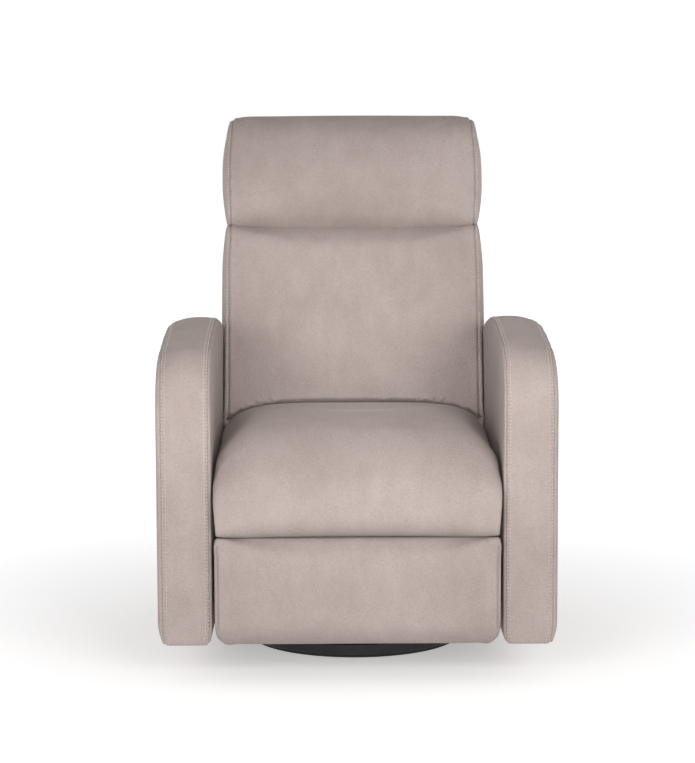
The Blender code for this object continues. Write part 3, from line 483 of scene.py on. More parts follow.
class Cover:
    """A soft cover while it is being shaped: an even mesh, inflated, pressed, seamed and stitched."""

    def __init__(self, name: str, corners: Sequence[Corner], x_from: float, x_to: float, edge: float) -> None:
        """Starts from a side profile extruded along X."""
        form = bmesh.new()
        add_profile(form, corners, x_from, x_to, edge)
        self.piece = new_object(name, form)
        self.name = name

    @staticmethod
    def triples(values: bpy.types.bpy_prop_collection, name: str) -> Array:
        """Returns a mesh's values of three numbers each as an (n, 3) array."""
        flat = np.empty(len(values) * 3, dtype=np.float32)
        values.foreach_get(name, flat)
        return flat.reshape(-1, 3).astype(np.float64)

    def coords(self) -> Array:
        """Returns the points."""
        return self.triples(self.piece.data.vertices, "co")

    def normals(self) -> Array:
        """Returns the point normals."""
        return self.triples(self.piece.data.vertex_normals, "vector")

    def move_to(self, coords: Array) -> None:
        """Moves the points to new places."""
        mesh = self.piece.data
        mesh.vertices.foreach_set("co", coords.astype(np.float32).ravel())
        mesh.update()

    def sculpt(self, change: Callable[[Array, Array], Array]) -> None:
        """Applies a change of shape: change(points, normals) returns the new points."""
        self.move_to(change(self.coords(), self.normals()))

    def even_mesh(self, padding: Padding) -> None:
        """Rebuilds the surface as even quads and softens it."""
        step = self.piece.modifiers.new("Remesh", "REMESH")
        step.mode = "VOXEL"
        step.voxel_size = padding.voxel
        step.use_smooth_shade = True
        if padding.settle:
            soften = self.piece.modifiers.new("Smooth", "SMOOTH")
            soften.factor = 0.5
            soften.iterations = padding.settle
        bake(self.piece)

    def inflate(self, padding: Padding, hold: Callable[[Array], Array]) -> None:
        """Blows the cover up as cloth, held along its seams.

        Args:
            padding: pressure, cap and length of the step.
            hold: gives each point's hold, 1 where a seam or a board holds it.
        """
        before = self.coords()
        held = np.clip(hold(before), 0.0, 1.0)
        group = self.piece.vertex_groups.new(name="held")
        levels = np.round(held * 10).astype(int)
        for level in range(1, 11):
            members = np.nonzero(levels == level)[0]
            if len(members):
                group.add(members.tolist(), level / 10, "REPLACE")
        step = self.piece.modifiers.new("Cloth", "CLOTH")
        cloth = step.settings
        cloth.quality = 3
        cloth.mass = 0.25
        cloth.tension_stiffness = 14.0
        cloth.compression_stiffness = 14.0
        cloth.shear_stiffness = 6.0
        cloth.bending_stiffness = 0.6
        cloth.use_pressure = True
        cloth.uniform_pressure_force = padding.pressure
        cloth.vertex_group_mass = group.name
        cloth.effector_weights.gravity = 0.0
        step.collision_settings.use_collision = False
        scene = bpy.context.scene
        for number in range(1, padding.frames + 1):
            scene.frame_set(number)
        bake(self.piece)
        scene.frame_set(1)
        self.piece.vertex_groups.clear()
        moved = self.coords() - before
        length = np.linalg.norm(moved, axis=1, keepdims=True) + 1e-9
        LOG.info("%s swelled %.1f mm at most", self.name, 1000 * length.max())
        self.move_to(before + moved / length * padding.cap * np.tanh(length / padding.cap))
        self.finish_surface()

    def finish_surface(self) -> None:
        """Smooths the inflated cover once more, gives it its fine mesh and an empty attribute for painted
        shade.
        """
        soften = self.piece.modifiers.new("Smooth", "SMOOTH")
        soften.factor = 0.5
        soften.iterations = 3
        finer = self.piece.modifiers.new("Subdivision", "SUBSURF")
        finer.levels = 1
        finer.render_levels = 1
        bake(self.piece)
        self.piece.data.attributes.new("painted_shade", "FLOAT", "POINT")
        self.piece.data.shade_smooth()

    def tree(self) -> BVHTree:
        """Returns a search tree of the present surface."""
        mesh = self.piece.data
        return BVHTree.FromPolygons([v.co for v in mesh.vertices], [p.vertices for p in mesh.polygons])

    def ring(self, x: float, centre: tuple[float, float], start: float, end: float) -> list[Vector]:
        """Finds the line where an upright plane across X meets the surface.

        Args:
            x: place of the plane.
            centre: (y, z) that the line is seen from.
            start: first direction in degrees, 0 to the rear, 90 up, 180 to the front.
            end: last direction in degrees.

        Returns:
            Points along the line, in order.
        """
        tree = self.tree()
        found = []
        steps = max(8, int(abs(end - start) / 1.5))
        for step in range(steps + 1):
            turn = math.radians(start + (end - start) * step / steps)
            way = Vector((0, math.cos(turn), math.sin(turn)))
            hit = tree.ray_cast(Vector((x, *centre)) + way, -way, 1.0)[0]
            if hit is not None:
                found.append(hit)
        return found

    def traced(self, points: Iterable[Point], way: Vector) -> list[Vector]:
        """Drops a line of points onto the surface.

        Args:
            points: points outside the surface, in order.
            way: direction in which the surface is looked for.

        Returns:
            Points on the surface.
        """
        tree = self.tree()
        hits = (tree.ray_cast(Vector(point), way, 1.0)[0] for point in points)
        return [hit for hit in hits if hit is not None]

    def warp(
        self, change: Callable[[Array], Array], paths: Sequence[Sequence[Vector]],
    ) -> list[list[Vector]]:
        """Changes the shape of the cover and carries its seam lines along.

        Args:
            change: returns the new places of points.
            paths: seam lines on the cover.

        Returns:
            The seam lines after the change.
        """
        self.move_to(change(self.coords()))
        return [[Vector(point) for point in change(np.array(path, dtype=float))] for path in paths]

    def refine(self, path: Sequence[Vector], reach: float, rounds: int = 2) -> None:
        """Splits the faces beside a path, so that a fine seam can be drawn there.

        Args:
            path: points along the seam.
            reach: faces nearer than this are split.
            rounds: how often they are split.
        """
        finder = nearest_finder(spaced(path, reach * 0.4))
        low, high = np.min(path, axis=0) - reach, np.max(path, axis=0) + reach
        form = bmesh.new()
        form.from_mesh(self.piece.data)
        for number in range(rounds):
            limit = reach * (1.0 - 0.35 * number)
            near = {
                vert for vert in form.verts
                if low[0] < vert.co.x < high[0] and low[1] < vert.co.y < high[1]
                and low[2] < vert.co.z < high[2] and finder.find(vert.co)[2] < limit
            }
            edges = [edge for edge in form.edges if edge.verts[0] in near and edge.verts[1] in near]
            bmesh.ops.subdivide_edges(form, edges=edges, cuts=1, use_grid_fill=True)
        form.to_mesh(self.piece.data)
        form.free()
        self.piece.data.shade_smooth()

    def groove(self, path: Sequence[Vector], seam: Seam) -> None:
        """Draws a seam along a path into the surface, with the cover rising a little on both sides, and paints
        shade along its bottom.
        """
        width = seam.width
        self.refine(path, 3.2 * width)
        samples = spaced(path, width * 0.5)
        finder = nearest_finder(samples)
        coords, normals = self.coords(), self.normals()
        low, high = np.min(samples, axis=0) - 4 * width, np.max(samples, axis=0) + 4 * width
        near = np.nonzero(np.all((coords > low) & (coords < high), axis=1))[0]
        far = np.full(len(coords), 1.0)
        for index in near:
            far[index] = finder.find(coords[index])[2]
        push = seam.depth * (seam.ridge * bell(far, 2.2 * width, width) - bell(far, 0.0, width))
        self.move_to(coords + normals * push[:, None])
        # painted shade along the bottom of the groove
        self.darken(seam.shade * bell(far, 0.0, 0.75 * width))

    def darken(self, share: Array) -> None:
        """Paints shade into the nap: darkens it by a share of 0 to 1 for each point, where it isn't darker
        already.
        """
        layer = self.piece.data.attributes["painted_shade"].data
        old = np.empty(len(share), dtype=np.float32)
        layer.foreach_get("value", old)
        layer.foreach_set("value", np.maximum(old, share).astype(np.float32))

    def crease(self, start: Point, end: Point, depth: float, width: float) -> None:
        """Presses a short tapering fold between two points into the surface."""
        coords, normals = self.coords(), self.normals()
        a, b = np.array(start), np.array(end)
        run = b - a
        t = np.clip((coords - a) @ run / (run @ run), 0.0, 1.0)
        far = np.linalg.norm(coords - (a + t[:, None] * run), axis=1)
        taper = 1.0 - 0.85 * t
        push = depth * taper * (0.35 * bell(far, 2 * width, width) - bell(far, 0.0, width))
        self.move_to(coords + normals * push[:, None])

    def half_width(self) -> float:
        """Returns the furthest that the cover reaches along X."""
        return float(np.abs(self.coords()[:, 0]).max())

    def dress(self, material: Material, body: str, fill: float, node: str) -> None:
        """Gives the cover its finish, puts it on its body and hides the node that it stands for."""
        self.piece.data.materials.clear()
        self.piece.data.materials.append(material)
        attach(self.piece, body)
        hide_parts(node)
        coords = self.coords()
        LOG.info(
            "%s rides on %s, %d points, from %s to %s", self.name, body, len(coords),
            coords.min(axis=0).round(4), coords.max(axis=0).round(4),
        )


def nearest_finder(points: Sequence[Vector]) -> KDTree:
    """Returns a search tree of points."""
    finder = KDTree(len(points))
    for index, point in enumerate(points):
        finder.insert(point, index)
    finder.balance()
    return finder


def spaced(path: Sequence[Vector], gap: float) -> list[Vector]:
    """Returns points at even steps of gap along a path."""
    points = [Vector(point) for point in path]
    result = [points[0]]
    carried = 0.0
    for a, b in zip(points, points[1:]):
        length = (b - a).length
        reach = gap - carried
        while reach <= length:
            result.append(a.lerp(b, reach / length))
            reach += gap
        carried = length - (reach - gap)
    return result


class Sewing:
    """Topstitching laid on covers, one mesh for each piece that it belongs to."""

    LENGTH = 0.0046
    PITCH = 0.0066
    THICKNESS = 0.00085

    def __init__(self, name: str) -> None:
        """Starts an empty row of stitches."""
        self.name = name
        self.form = bmesh.new()

    def row(self, cover: Cover, path: Sequence[Vector], offset: float) -> None:
        """Sews one row beside a path.

        Args:
            cover: the cover that the thread lies on.
            path: points along the seam.
            offset: sideways distance from the seam, positive to the left along the path.
        """
        tree = cover.tree()
        points = spaced(path, self.PITCH)
        for before, here, after in zip(points, points[1:], points[2:]):
            along = (after - before).normalized()
            _, normal, _, _ = tree.find_nearest(here)
            side = normal.cross(along).normalized()
            place, normal, _, _ = tree.find_nearest(here + side * offset)
            along = (along - normal * along.dot(normal)).normalized()
            side = normal.cross(along)
            turn = Matrix((along, side, normal)).transposed().to_4x4()
            size = Matrix.Diagonal((self.LENGTH / 2, self.THICKNESS, self.THICKNESS, 1.0))
            centre = Matrix.Translation(place + normal * self.THICKNESS * 0.35)
            bmesh.ops.create_icosphere(self.form, subdivisions=1, radius=1.0, matrix=centre @ turn @ size)

    def finish(self, material: Material, body: str) -> None:
        """Makes the stitches one piece that rides with its cover."""
        piece = new_object(self.name, self.form)
        piece.data.materials.append(material)
        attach(piece, body)
        LOG.info("%s rides on %s, %d faces", self.name, body, len(piece.data.polygons))


# ---------------------------------------------------------------- the back's own directions

BACK_PIVOT = (0.190, 0.345)
BACK_LEAN = math.radians(16)
LEAN = (math.sin(BACK_LEAN), math.cos(BACK_LEAN))


def back_corner(forward: float, along: float, reach: float) -> Corner:
    """Returns the (y, z, reach) of a corner given forward of, and along, the back."""
    return (
        BACK_PIVOT[0] + along * LEAN[0] - forward * LEAN[1],
        BACK_PIVOT[1] + along * LEAN[1] + forward * LEAN[0],
        reach,
    )


def back_axes(coords: Array) -> tuple[Array, Array]:
    """Returns how far each point is forward of, and along, the back."""
    y, z = coords[:, 1] - BACK_PIVOT[0], coords[:, 2] - BACK_PIVOT[1]
    return -y * LEAN[1] + z * LEAN[0], y * LEAN[0] + z * LEAN[1]


def back_shift(coords: Array, forward: Array, along: Array) -> Array:
    """Moves points forward of, and along, the back."""
    moved = coords.copy()
    moved[:, 1] += along * LEAN[0] - forward * LEAN[1]
    moved[:, 2] += along * LEAN[1] + forward * LEAN[0]
    return moved


def back_fit(coords: Array, forward_span: tuple[float, float], along_span: tuple[float, float]) -> Array:
    """Stretches points evenly to a span forward of, and a span along, the back."""
    forward, along = back_axes(coords)
    return back_shift(coords, spread(forward, *forward_span) - forward, spread(along, *along_span) - along)


def back_point(x: float, forward: float, along: float) -> Point:
    """Returns a point of the back as (x, y, z)."""
    y, z, _ = back_corner(forward, along, 0.0)
    return (x, y, z)


# ---------------------------------------------------------------- cushions

BOXED_SEAM = Seam(0.0020, 0.0028, 0.35)
SEAT_HALF = 0.2712


@dataclass(kw_only=True)
class PaddedPiece:
    """What the padded pieces share.

    Attributes:
        body: the body that the piece rides on.
        padding: how it is blown up.
    """

    body: str
    padding: Padding = Padding()

    def outline(self) -> Cover:
        """Returns the cover before it is blown up."""
        raise NotImplementedError

    def prepare(self, coords: Array, normals: Array) -> Array:
        """Shapes the even mesh before it is blown up."""
        return coords

    def held(self, coords: Array) -> Array:
        """Returns how firmly each point is held while the cover is blown up."""
        raise NotImplementedError

    def press(self, coords: Array, normals: Array) -> Array:
        """Brings the blown-up cover to its full size, against what it rests on."""
        raise NotImplementedError

    def shape(self) -> Cover:
        """Returns the blown-up cover."""
        cover = self.outline()
        cover.even_mesh(self.padding)
        cover.sculpt(self.prepare)
        cover.inflate(self.padding, self.held)
        cover.sculpt(self.press)
        return cover


@dataclass(kw_only=True)
class SeatCushion(PaddedPiece):
    """The seat: a crowned slab that runs over into a full front roll."""

    body: str = "seat"
    half: float = SEAT_HALF
    start_half: float = 0.263
    crown_drop: float = 0.040
    front: float = -0.4340
    band_depth: float = 0.19
    padding: Padding = Padding(cap=0.014)

    def outline(self) -> Cover:
        """Returns the slab with its front roll."""
        return Cover("seat_cushion_cover", [
            (-0.421, 0.280, 0.045), (-0.374, 0.284, 0.004), (-0.374, 0.352, 0.0), (0.052, 0.354, 0.010),
            (0.074, 0.462, 0.012), (-0.210, 0.476, 0.130), (-0.424, 0.450, 0.095),
        ], -self.start_half, self.start_half, 0.008)

    def held(self, coords: Array) -> Array:
        """Holds the underside on the frame, and the rear at half strength."""
        under = (1.0 - smooth_step(coords[:, 2], 0.356, 0.372)) * smooth_step(coords[:, 1], -0.378, -0.366)
        rear = smooth_step(coords[:, 1], 0.050, 0.070) * 0.5
        return np.maximum(under, rear)

    def press(self, coords: Array, normals: Array) -> Array:
        """Fills the space between the arms, rounds the top off to both sides and flattens the underside."""
        moved = coords.copy()
        moved[:, 0] = spread(moved[:, 0], -self.half - 0.012, self.half + 0.012)
        moved[:, 1] = spread(moved[:, 1], self.front, 0.0735)
        moved[:, 2] = spread(moved[:, 2], 0.2715, 0.4875)
        share = np.clip(np.abs(moved[:, 0]) / self.half, 0.0, 1.0)
        moved[:, 2] -= self.crown_drop * share ** 5 * smooth_step(moved[:, 2], 0.34, 0.44)
        limit = self.half - 0.006 * (1.0 - smooth_step(moved[:, 2], 0.28, 0.38))
        moved[:, 0] = np.clip(moved[:, 0], -limit, limit)
        rest = np.where(moved[:, 1] > -0.372, 0.3505, 0.2764 + 0.004 * share ** 8)
        moved[:, 2] = np.maximum(moved[:, 2], rest)
        return moved

    def under_roll_shade(self, coords: Array) -> Array:
        """Returns the shade painted under the front roll, stronger the further each point is turned under."""
        share = np.clip(np.abs(coords[:, 0]) / self.half, 0.0, 1.0)
        reach = 0.046 * (1.0 - 0.7 * share ** 4)
        low = 1.0 - np.clip((coords[:, 2] - 0.2765) / reach, 0.0, 1.0)
        return 0.34 * low ** 1.4 * (coords[:, 1] < -0.375)

    def build(self, fabric: Fabric) -> None:
        """Builds, seams and dresses the cushion."""
        cover = self.shape()
        arc = ((x, self.band_depth * ((x / 0.240) ** 2 - 1.0), 0.8) for x in np.linspace(-0.240, 0.240, 80))
        cover.groove(cover.traced(arc, Vector((0, 0, -1))), Seam(0.0022, 0.0030, 0.45, 0.8))
        for way, x in ((-1, -0.235), (1, 0.240)):
            cover.crease((x, 0.050, 0.452), (x - way * 0.05, 0.015, 0.474), 0.004, 0.008)
        # painted shade under the front roll
        cover.darken(self.under_roll_shade(cover.coords()))
        cover.dress(fabric.suede, self.body, 0.85, "seat_cushion")


@dataclass(kw_only=True)
class BackCushion(PaddedPiece):
    """The lower back cushion, fuller at the waist, tucked in under the headrest and gathered at its foot."""

    body: str = "backrest"
    start_half: float = 0.260
    pressed_half: float = 0.2706
    free_half: float = 0.2775
    seam_inset: float = 0.0155
    padding: Padding = Padding(cap=0.015)

    def outline(self) -> Cover:
        """Returns the cushion, thickest at the waist."""
        return Cover("back_cushion_cover", [
            back_corner(0.0215, 0.030, 0.010), back_corner(0.108, 0.030, 0.045),
            back_corner(0.112, 0.170, 0.080), back_corner(0.097, 0.490, 0.030),
            back_corner(0.0215, 0.491, 0.006),
        ], -self.start_half, self.start_half, 0.009)

    def held(self, coords: Array) -> Array:
        """Holds the rear on its frame and the boxing seams in line."""
        forward, along = back_axes(coords)
        rear = 1.0 - smooth_step(forward, 0.024, 0.040)
        seam = bell(np.abs(coords[:, 0]), self.start_half - 0.010, 0.004) * smooth_step(forward, 0.07, 0.09)
        foot = (1.0 - smooth_step(along, 0.030, 0.050)) * 0.6
        return np.maximum.reduce([rear, seam * 0.8, foot])

    def press(self, coords: Array, normals: Array) -> Array:
        """Flattens the sides between the arms, and the top under the headrest."""
        _, along = back_axes(coords)
        limit = self.pressed_half + (self.free_half - self.pressed_half) * smooth_step(along, 0.215, 0.275)
        full = self.free_half + 0.002
        widened = coords.copy()
        widened[:, 0] = np.clip(spread(coords[:, 0], -full, full), -limit, limit)
        return back_fit(widened, (0.0210, 0.1250), (0.0245, 0.4900))

    @staticmethod
    def foot_drop(x: float) -> float:
        """Returns how far the line where the back meets the seat has dropped at x."""
        return 0.040 * (abs(x) / SEAT_HALF) ** 5

    def taper(self, coords: Array) -> Array:
        """Draws the top in where the headrest presses on it."""
        _, along = back_axes(coords)
        moved = coords.copy()
        moved[:, 0] *= 1.0 - 0.012 * smooth_step(along, 0.38, 0.48)
        return moved

    def build(self, fabric: Fabric) -> None:
        """Builds, seams and dresses the cushion."""
        cover = self.shape()
        centre = back_corner(0.055, 0.26, 0.0)[:2]
        sides = [cover.ring(way * (self.free_half - self.seam_inset), centre, 62, 272) for way in (-1, 1)]
        for side in sides:
            cover.groove(side, BOXED_SEAM)
        sides = cover.warp(self.taper, sides)
        # the tuck where the back meets the seat: a deep groove with dark painted shade along it
        tuck = ((x, -0.8, 0.4655 - self.foot_drop(x)) for x in np.linspace(-0.262, 0.262, 90))
        cover.groove(cover.traced(tuck, Vector((0, 1, 0))), Seam(0.0070, 0.0055, 0.90, 0.35))
        for x, out, rise, depth in (
            (-0.246, 0.012, 0.030, 0.0060), (-0.222, 0.022, 0.026, 0.0060), (-0.198, 0.022, 0.022, 0.0050),
            (-0.170, 0.014, 0.018, 0.0045), (-0.110, 0.010, 0.014, 0.0025), (-0.030, 0.006, 0.014, 0.0022),
            (0.058, 0.012, 0.022, 0.0040), (0.135, 0.008, 0.020, 0.0040), (0.166, 0.014, 0.020, 0.0050),
            (0.186, 0.016, 0.024, 0.0050), (0.226, 0.018, 0.028, 0.0060), (0.248, 0.010, 0.032, 0.0060),
            (-0.252, -0.004, 0.110, 0.0030), (0.254, -0.004, 0.120, 0.0030),
        ):
            way = math.copysign(1.0, x)
            foot = 0.091 - self.foot_drop(x)
            tip = back_point(x + way * out, 0.126, foot + rise + 0.006)
            cover.crease(back_point(x, 0.120, foot), tip, depth, 0.0042)
        sewing = Sewing("back_cushion_topstitch")
        for way, side in zip((-1, 1), sides):
            sewing.row(cover, side, way * 0.0030)
        cover.dress(fabric.suede, self.body, 0.8, "back_cushion")
        sewing.finish(fabric.thread, self.body)


@dataclass(kw_only=True)
class Headrest(PaddedPiece):
    """The pillow at the top of the back, rolled over at its top and overhanging the lower cushion."""

    body: str = "backrest"
    start_half: float = 0.263
    half: float = 0.2768
    seam_inset: float = 0.0165
    padding: Padding = Padding(cap=0.016)

    def outline(self) -> Cover:
        """Returns the pillow with its rolled top."""
        return Cover("headrest_cover", [
            back_corner(0.0215, 0.476, 0.008), back_corner(0.114, 0.478, 0.026),
            back_corner(0.124, 0.590, 0.060), back_corner(0.098, 0.716, 0.052),
            back_corner(0.0215, 0.712, 0.022),
        ], -self.start_half, self.start_half, 0.010)

    def taper(self, coords: Array) -> Array:
        """Rounds the upper corners off and draws both ends in, so that the pillow is widest in its middle."""
        _, along = back_axes(coords)
        moved = coords.copy()
        high, low = smooth_step(along, 0.60, 0.72), 1.0 - smooth_step(along, 0.47, 0.56)
        share = np.clip(np.abs(coords[:, 0]) / self.half, 0.0, 1.0)
        moved[:, 0] *= 1.0 - 0.020 * high - 0.012 * low
        corner = np.clip((share - 0.80) / 0.20, 0.0, 1.0) ** 2
        return back_shift(moved, -0.004 * corner * low, -(0.012 * corner + 0.003 * share ** 2) * high)

    def held(self, coords: Array) -> Array:
        """Holds the rear on its board and the boxing seams in line."""
        forward, _ = back_axes(coords)
        rear = 1.0 - smooth_step(forward, 0.024, 0.040)
        seam = bell(np.abs(coords[:, 0]), self.start_half - 0.010, 0.004) * smooth_step(forward, 0.05, 0.08)
        return np.maximum(rear, seam * 0.75)

    def press(self, coords: Array, normals: Array) -> Array:
        """Keeps the pillow off the cushion below and the shell behind."""
        widened = coords.copy()
        widened[:, 0] = spread(coords[:, 0], -self.half, self.half)
        return back_fit(widened, (0.0210, 0.1370), (0.4700, 0.7300))

    def build(self, fabric: Fabric) -> None:
        """Builds, seams and dresses the pillow."""
        cover = self.shape()
        centre = back_corner(0.060, 0.60, 0.0)[:2]
        seam_x = self.half - self.seam_inset
        sides = [cover.ring(way * seam_x, centre, 40, 272) for way in (-1, 1)]
        for side in sides:
            cover.groove(side, Seam(0.0020, 0.0028, 0.35, 0.6))
        sides = cover.warp(self.taper, sides)
        for way in (-1, 1):
            for along, reach, drop, depth in (
                (0.560, 0.034, -0.030, 0.0040), (0.525, 0.028, -0.024, 0.0035), (0.640, 0.022, 0.010, 0.0020),
                (0.488, 0.040, 0.014, 0.0050), (0.600, 0.016, -0.012, 0.0020),
            ):
                root = back_point(way * (seam_x - 0.006), 0.132, along)
                tip = back_point(way * (seam_x - reach), 0.138, along + drop)
                cover.crease(root, tip, depth * (1.0 if way < 0 else 0.6), 0.0055)
        sewing = Sewing("headrest_topstitch")
        for way, side in zip((-1, 1), sides):
            sewing.row(cover, side, way * 0.0030)
        cover.dress(fabric.suede, self.body, 0.85, "headrest_cushion")
        sewing.finish(fabric.thread, self.body)


@dataclass(kw_only=True)
class FootrestPad(PaddedPiece):
    """The flat pad of the footrest, full in the middle, with clipped lower corners."""

    body: str = "footrest"
    start_half: float = 0.264
    half: float = 0.2685
    padding: Padding = Padding(voxel=0.007, cap=0.010)

    def outline(self) -> Cover:
        """Returns the pad."""
        return Cover("footrest_pad_cover", [
            (-0.426, 0.106, 0.030), (-0.404, 0.078, 0.012), (-0.3935, 0.080, 0.002), (-0.3935, 0.266, 0.004),
            (-0.426, 0.268, 0.014),
        ], -self.start_half, self.start_half, 0.012)

    def prepare(self, coords: Array, normals: Array) -> Array:
        """Lifts the lower corners."""
        moved = coords.copy()
        side = smooth_step(np.abs(coords[:, 0]), self.start_half - 0.022, self.start_half)
        low = 1.0 - smooth_step(coords[:, 2], 0.080, 0.125)
        moved[:, 2] += 0.014 * side * low
        return moved

    def held(self, coords: Array) -> Array:
        """Holds the rear on its board, and the edges a little."""
        rear = smooth_step(coords[:, 1], -0.402, -0.396)
        side = smooth_step(np.abs(coords[:, 0]), self.start_half - 0.012, self.start_half - 0.002) * 0.6
        return np.maximum(rear, side)

    def press(self, coords: Array, normals: Array) -> Array:
        """Fills the space between the arms and below the seat roll."""
        return np.stack([
            spread(coords[:, 0], -self.half, self.half), spread(coords[:, 1], -0.4345, -0.3928),
            np.minimum(spread(coords[:, 2], 0.0710, 0.2785), 0.2752),
        ], axis=1)

    def build(self, fabric: Fabric) -> None:
        """Builds, seams and dresses the pad."""
        cover = self.shape()
        for way in (-1, 1):
            side = cover.ring(way * (cover.half_width() - 0.006), (-0.405, 0.17), 100, 260)
            cover.groove(side, Seam(0.0014, 0.0026, 0.4))
            cover.crease((way * 0.262, -0.430, 0.266), (way * 0.205, -0.434, 0.250), 0.0035, 0.008)
            cover.crease((way * 0.255, -0.430, 0.270), (way * 0.236, -0.434, 0.228), 0.0025, 0.006)
            cover.crease((way * 0.258, -0.430, 0.084), (way * 0.240, -0.434, 0.120), 0.0025, 0.007)
        # painted shade along the lower edge of the pad, where it turns under
        cover.darken(0.42 * (1.0 - np.clip((cover.coords()[:, 2] - 0.071) / 0.042, 0.0, 1.0)) ** 1.3)
        cover.dress(fabric.suede, self.body, 0.8, "footrest_pad")


# ---------------------------------------------------------------- arms, rear


@dataclass(kw_only=True)
class Arm(PaddedPiece):
    """One upholstered arm: an upright front strip that runs over the arched top, between two side panels."""

    side: int
    label: str
    body: str = "carriage"
    inner: float = 0.2732
    outer: float = 0.3760
    start_inner: float = 0.2765
    start_outer: float = 0.3715
    inner_seam: float = 0.2778
    outer_seam: float = 0.3665
    padding: Padding = Padding(cap=0.0065)
    centre: tuple[float, float] = (-0.045, 0.350)

    def outline(self) -> Cover:
        """Returns the arched arm, always as a right one."""
        return Cover(f"arm_cover_{self.label}_upholstery", [
            (-0.4125, 0.075, 0.016), (-0.4125, 0.606, 0.085), (-0.048, 0.656, 0.150), (0.206, 0.603, 0.070),
            (0.3225, 0.494, 0.070), (0.3225, 0.075, 0.016),
        ], self.start_inner, self.start_outer, 0.007)

    def prepare(self, coords: Array, normals: Array) -> Array:
        """Rolls the outer edge of the arched top down, and the inner edge slightly."""
        moved = coords.copy()
        outward = np.clip((coords[:, 0] - (self.start_outer - 0.046)) / 0.046, 0.0, 1.0)
        rise = smooth_step(coords[:, 2], 0.44, 0.62)
        moved[:, 2] -= 0.014 * outward ** 2 * rise
        return moved

    def held(self, coords: Array) -> Array:
        """Holds both seams and the bottom."""
        seams = [0.9 * bell(coords[:, 0], x, 0.004) for x in (self.inner_seam, self.outer_seam)]
        return np.maximum.reduce([*seams, 1.0 - smooth_step(coords[:, 2], 0.078, 0.100)])

    def press(self, coords: Array, normals: Array) -> Array:
        """Brings the arm to its full size, flat where it faces the seat."""
        return np.stack([
            np.maximum(spread(coords[:, 0], self.inner - 0.0010, self.outer + 0.002), self.inner),
            spread(coords[:, 1], -0.4165, 0.3265), spread(coords[:, 2], 0.0715, 0.6595),
        ], axis=1)

    def draw_in_foot(self, coords: Array) -> Array:
        """Draws the arm in and down a little at its foot."""
        moved = coords.copy()
        across = np.abs(coords[:, 0])
        outward = np.clip((across - 0.325) / 0.050, 0.0, 1.0)
        inward = np.clip((0.300 - across) / 0.025, 0.0, 1.0)
        foot = 1.0 - smooth_step(coords[:, 2], 0.070, 0.110)
        moved[:, 0] += self.side * foot * (0.004 * inward - 0.006 * outward)
        moved[:, 2] -= foot * 0.0035
        return moved

    @staticmethod
    def mirror(cover: Cover) -> None:
        """Turns the arm into its mirror image, with its faces still pointing out."""
        mesh = cover.piece.data
        mesh.transform(Matrix.Scale(-1, 4, (1, 0, 0)))
        mesh.flip_normals()

    def build(self, fabric: Fabric) -> None:
        """Builds, seams, stitches and dresses the arm."""
        cover = self.shape()
        if self.side < 0:
            self.mirror(cover)
        sewing = Sewing(f"arm_{self.label}_topstitch")
        paths = [cover.ring(self.side * x, self.centre, 219, -38) for x in (self.inner_seam, self.outer_seam)]
        for path in paths:
            cover.groove(path, Seam(0.0013, 0.0024, 0.28, 0.4))
        paths = cover.warp(self.draw_in_foot, paths)
        for path, inward in zip(paths, (1, -1)):
            for offset in (0.0030, 0.0092):
                sewing.row(cover, path, self.side * inward * -offset)
        if self.side < 0:
            cut_away(cover.piece, box_cutter((-0.40, -0.2005, 0.3875), (-0.3470, -0.0745, 0.4485)))
            cover.piece.data.shade_smooth()
        cover.dress(fabric.suede, self.body, 0.95, f"arm_cover_{self.label}")
        sewing.finish(fabric.thread, self.body)


@dataclass(kw_only=True)
class BackShell(PaddedPiece):
    """The padded outer back that wraps the frame."""

    body: str = "backrest"
    half: float = 0.2648
    seam_x: float = 0.252
    padding: Padding = Padding(voxel=0.007, cap=0.006)

    def outline(self) -> Cover:
        """Returns the shell, hollow where the frame is."""
        cover = Cover("back_shell_cover", [
            back_corner(-0.0575, -0.028, 0.012), back_corner(-0.0290, -0.028, 0.004),
            back_corner(-0.0290, 0.047, 0.004), back_corner(0.0170, 0.047, 0.006),
            back_corner(0.0170, 0.705, 0.008), back_corner(-0.0575, 0.705, 0.040),
        ], -self.half + 0.002, self.half - 0.002, 0.008)
        pocket = bmesh.new()
        add_profile(pocket, [
            back_corner(-0.0288, -0.060, 0.0), back_corner(0.040, -0.060, 0.0),
            back_corner(0.040, 0.6860, 0.0), back_corner(-0.0288, 0.6860, 0.0),
        ], -0.2438, 0.2438, 0.0)
        cut_away(cover.piece, new_object("pocket", pocket))
        return cover

    def held(self, coords: Array) -> Array:
        """Lets only the outside of the shell swell."""
        forward, along = back_axes(coords)
        inside = (np.abs(coords[:, 0]) < 0.2475) & (forward > -0.034) & (along < 0.690)
        seam = bell(np.abs(coords[:, 0]), self.seam_x, 0.004) * (1.0 - smooth_step(forward, -0.050, -0.040))
        return np.maximum.reduce([inside.astype(float), smooth_step(forward, 0.004, 0.014), seam * 0.8])

    def press(self, coords: Array, normals: Array) -> Array:
        """Brings the shell to its full size, off the side plates and the cushions."""
        sized = coords.copy()
        sized[:, 0] = spread(coords[:, 0], -self.half, self.half)
        return back_fit(sized, (-0.0625, 0.0180), (-0.0300, 0.7085))

    def build(self, fabric: Fabric) -> None:
        """Builds, seams and dresses the shell."""
        cover = self.shape()
        centre = back_corner(-0.030, 0.34, 0.0)[:2]
        sewing = Sewing("back_shell_topstitch")
        for way in (-1, 1):
            side = cover.ring(way * self.seam_x, centre, 84, -98)
            cover.groove(side, Seam(0.0020, 0.0028, 0.5))
            sewing.row(cover, side, way * 0.0060)
        cover.dress(fabric.suede, self.body, 0.9, "back_shell")
        sewing.finish(fabric.thread, self.body)


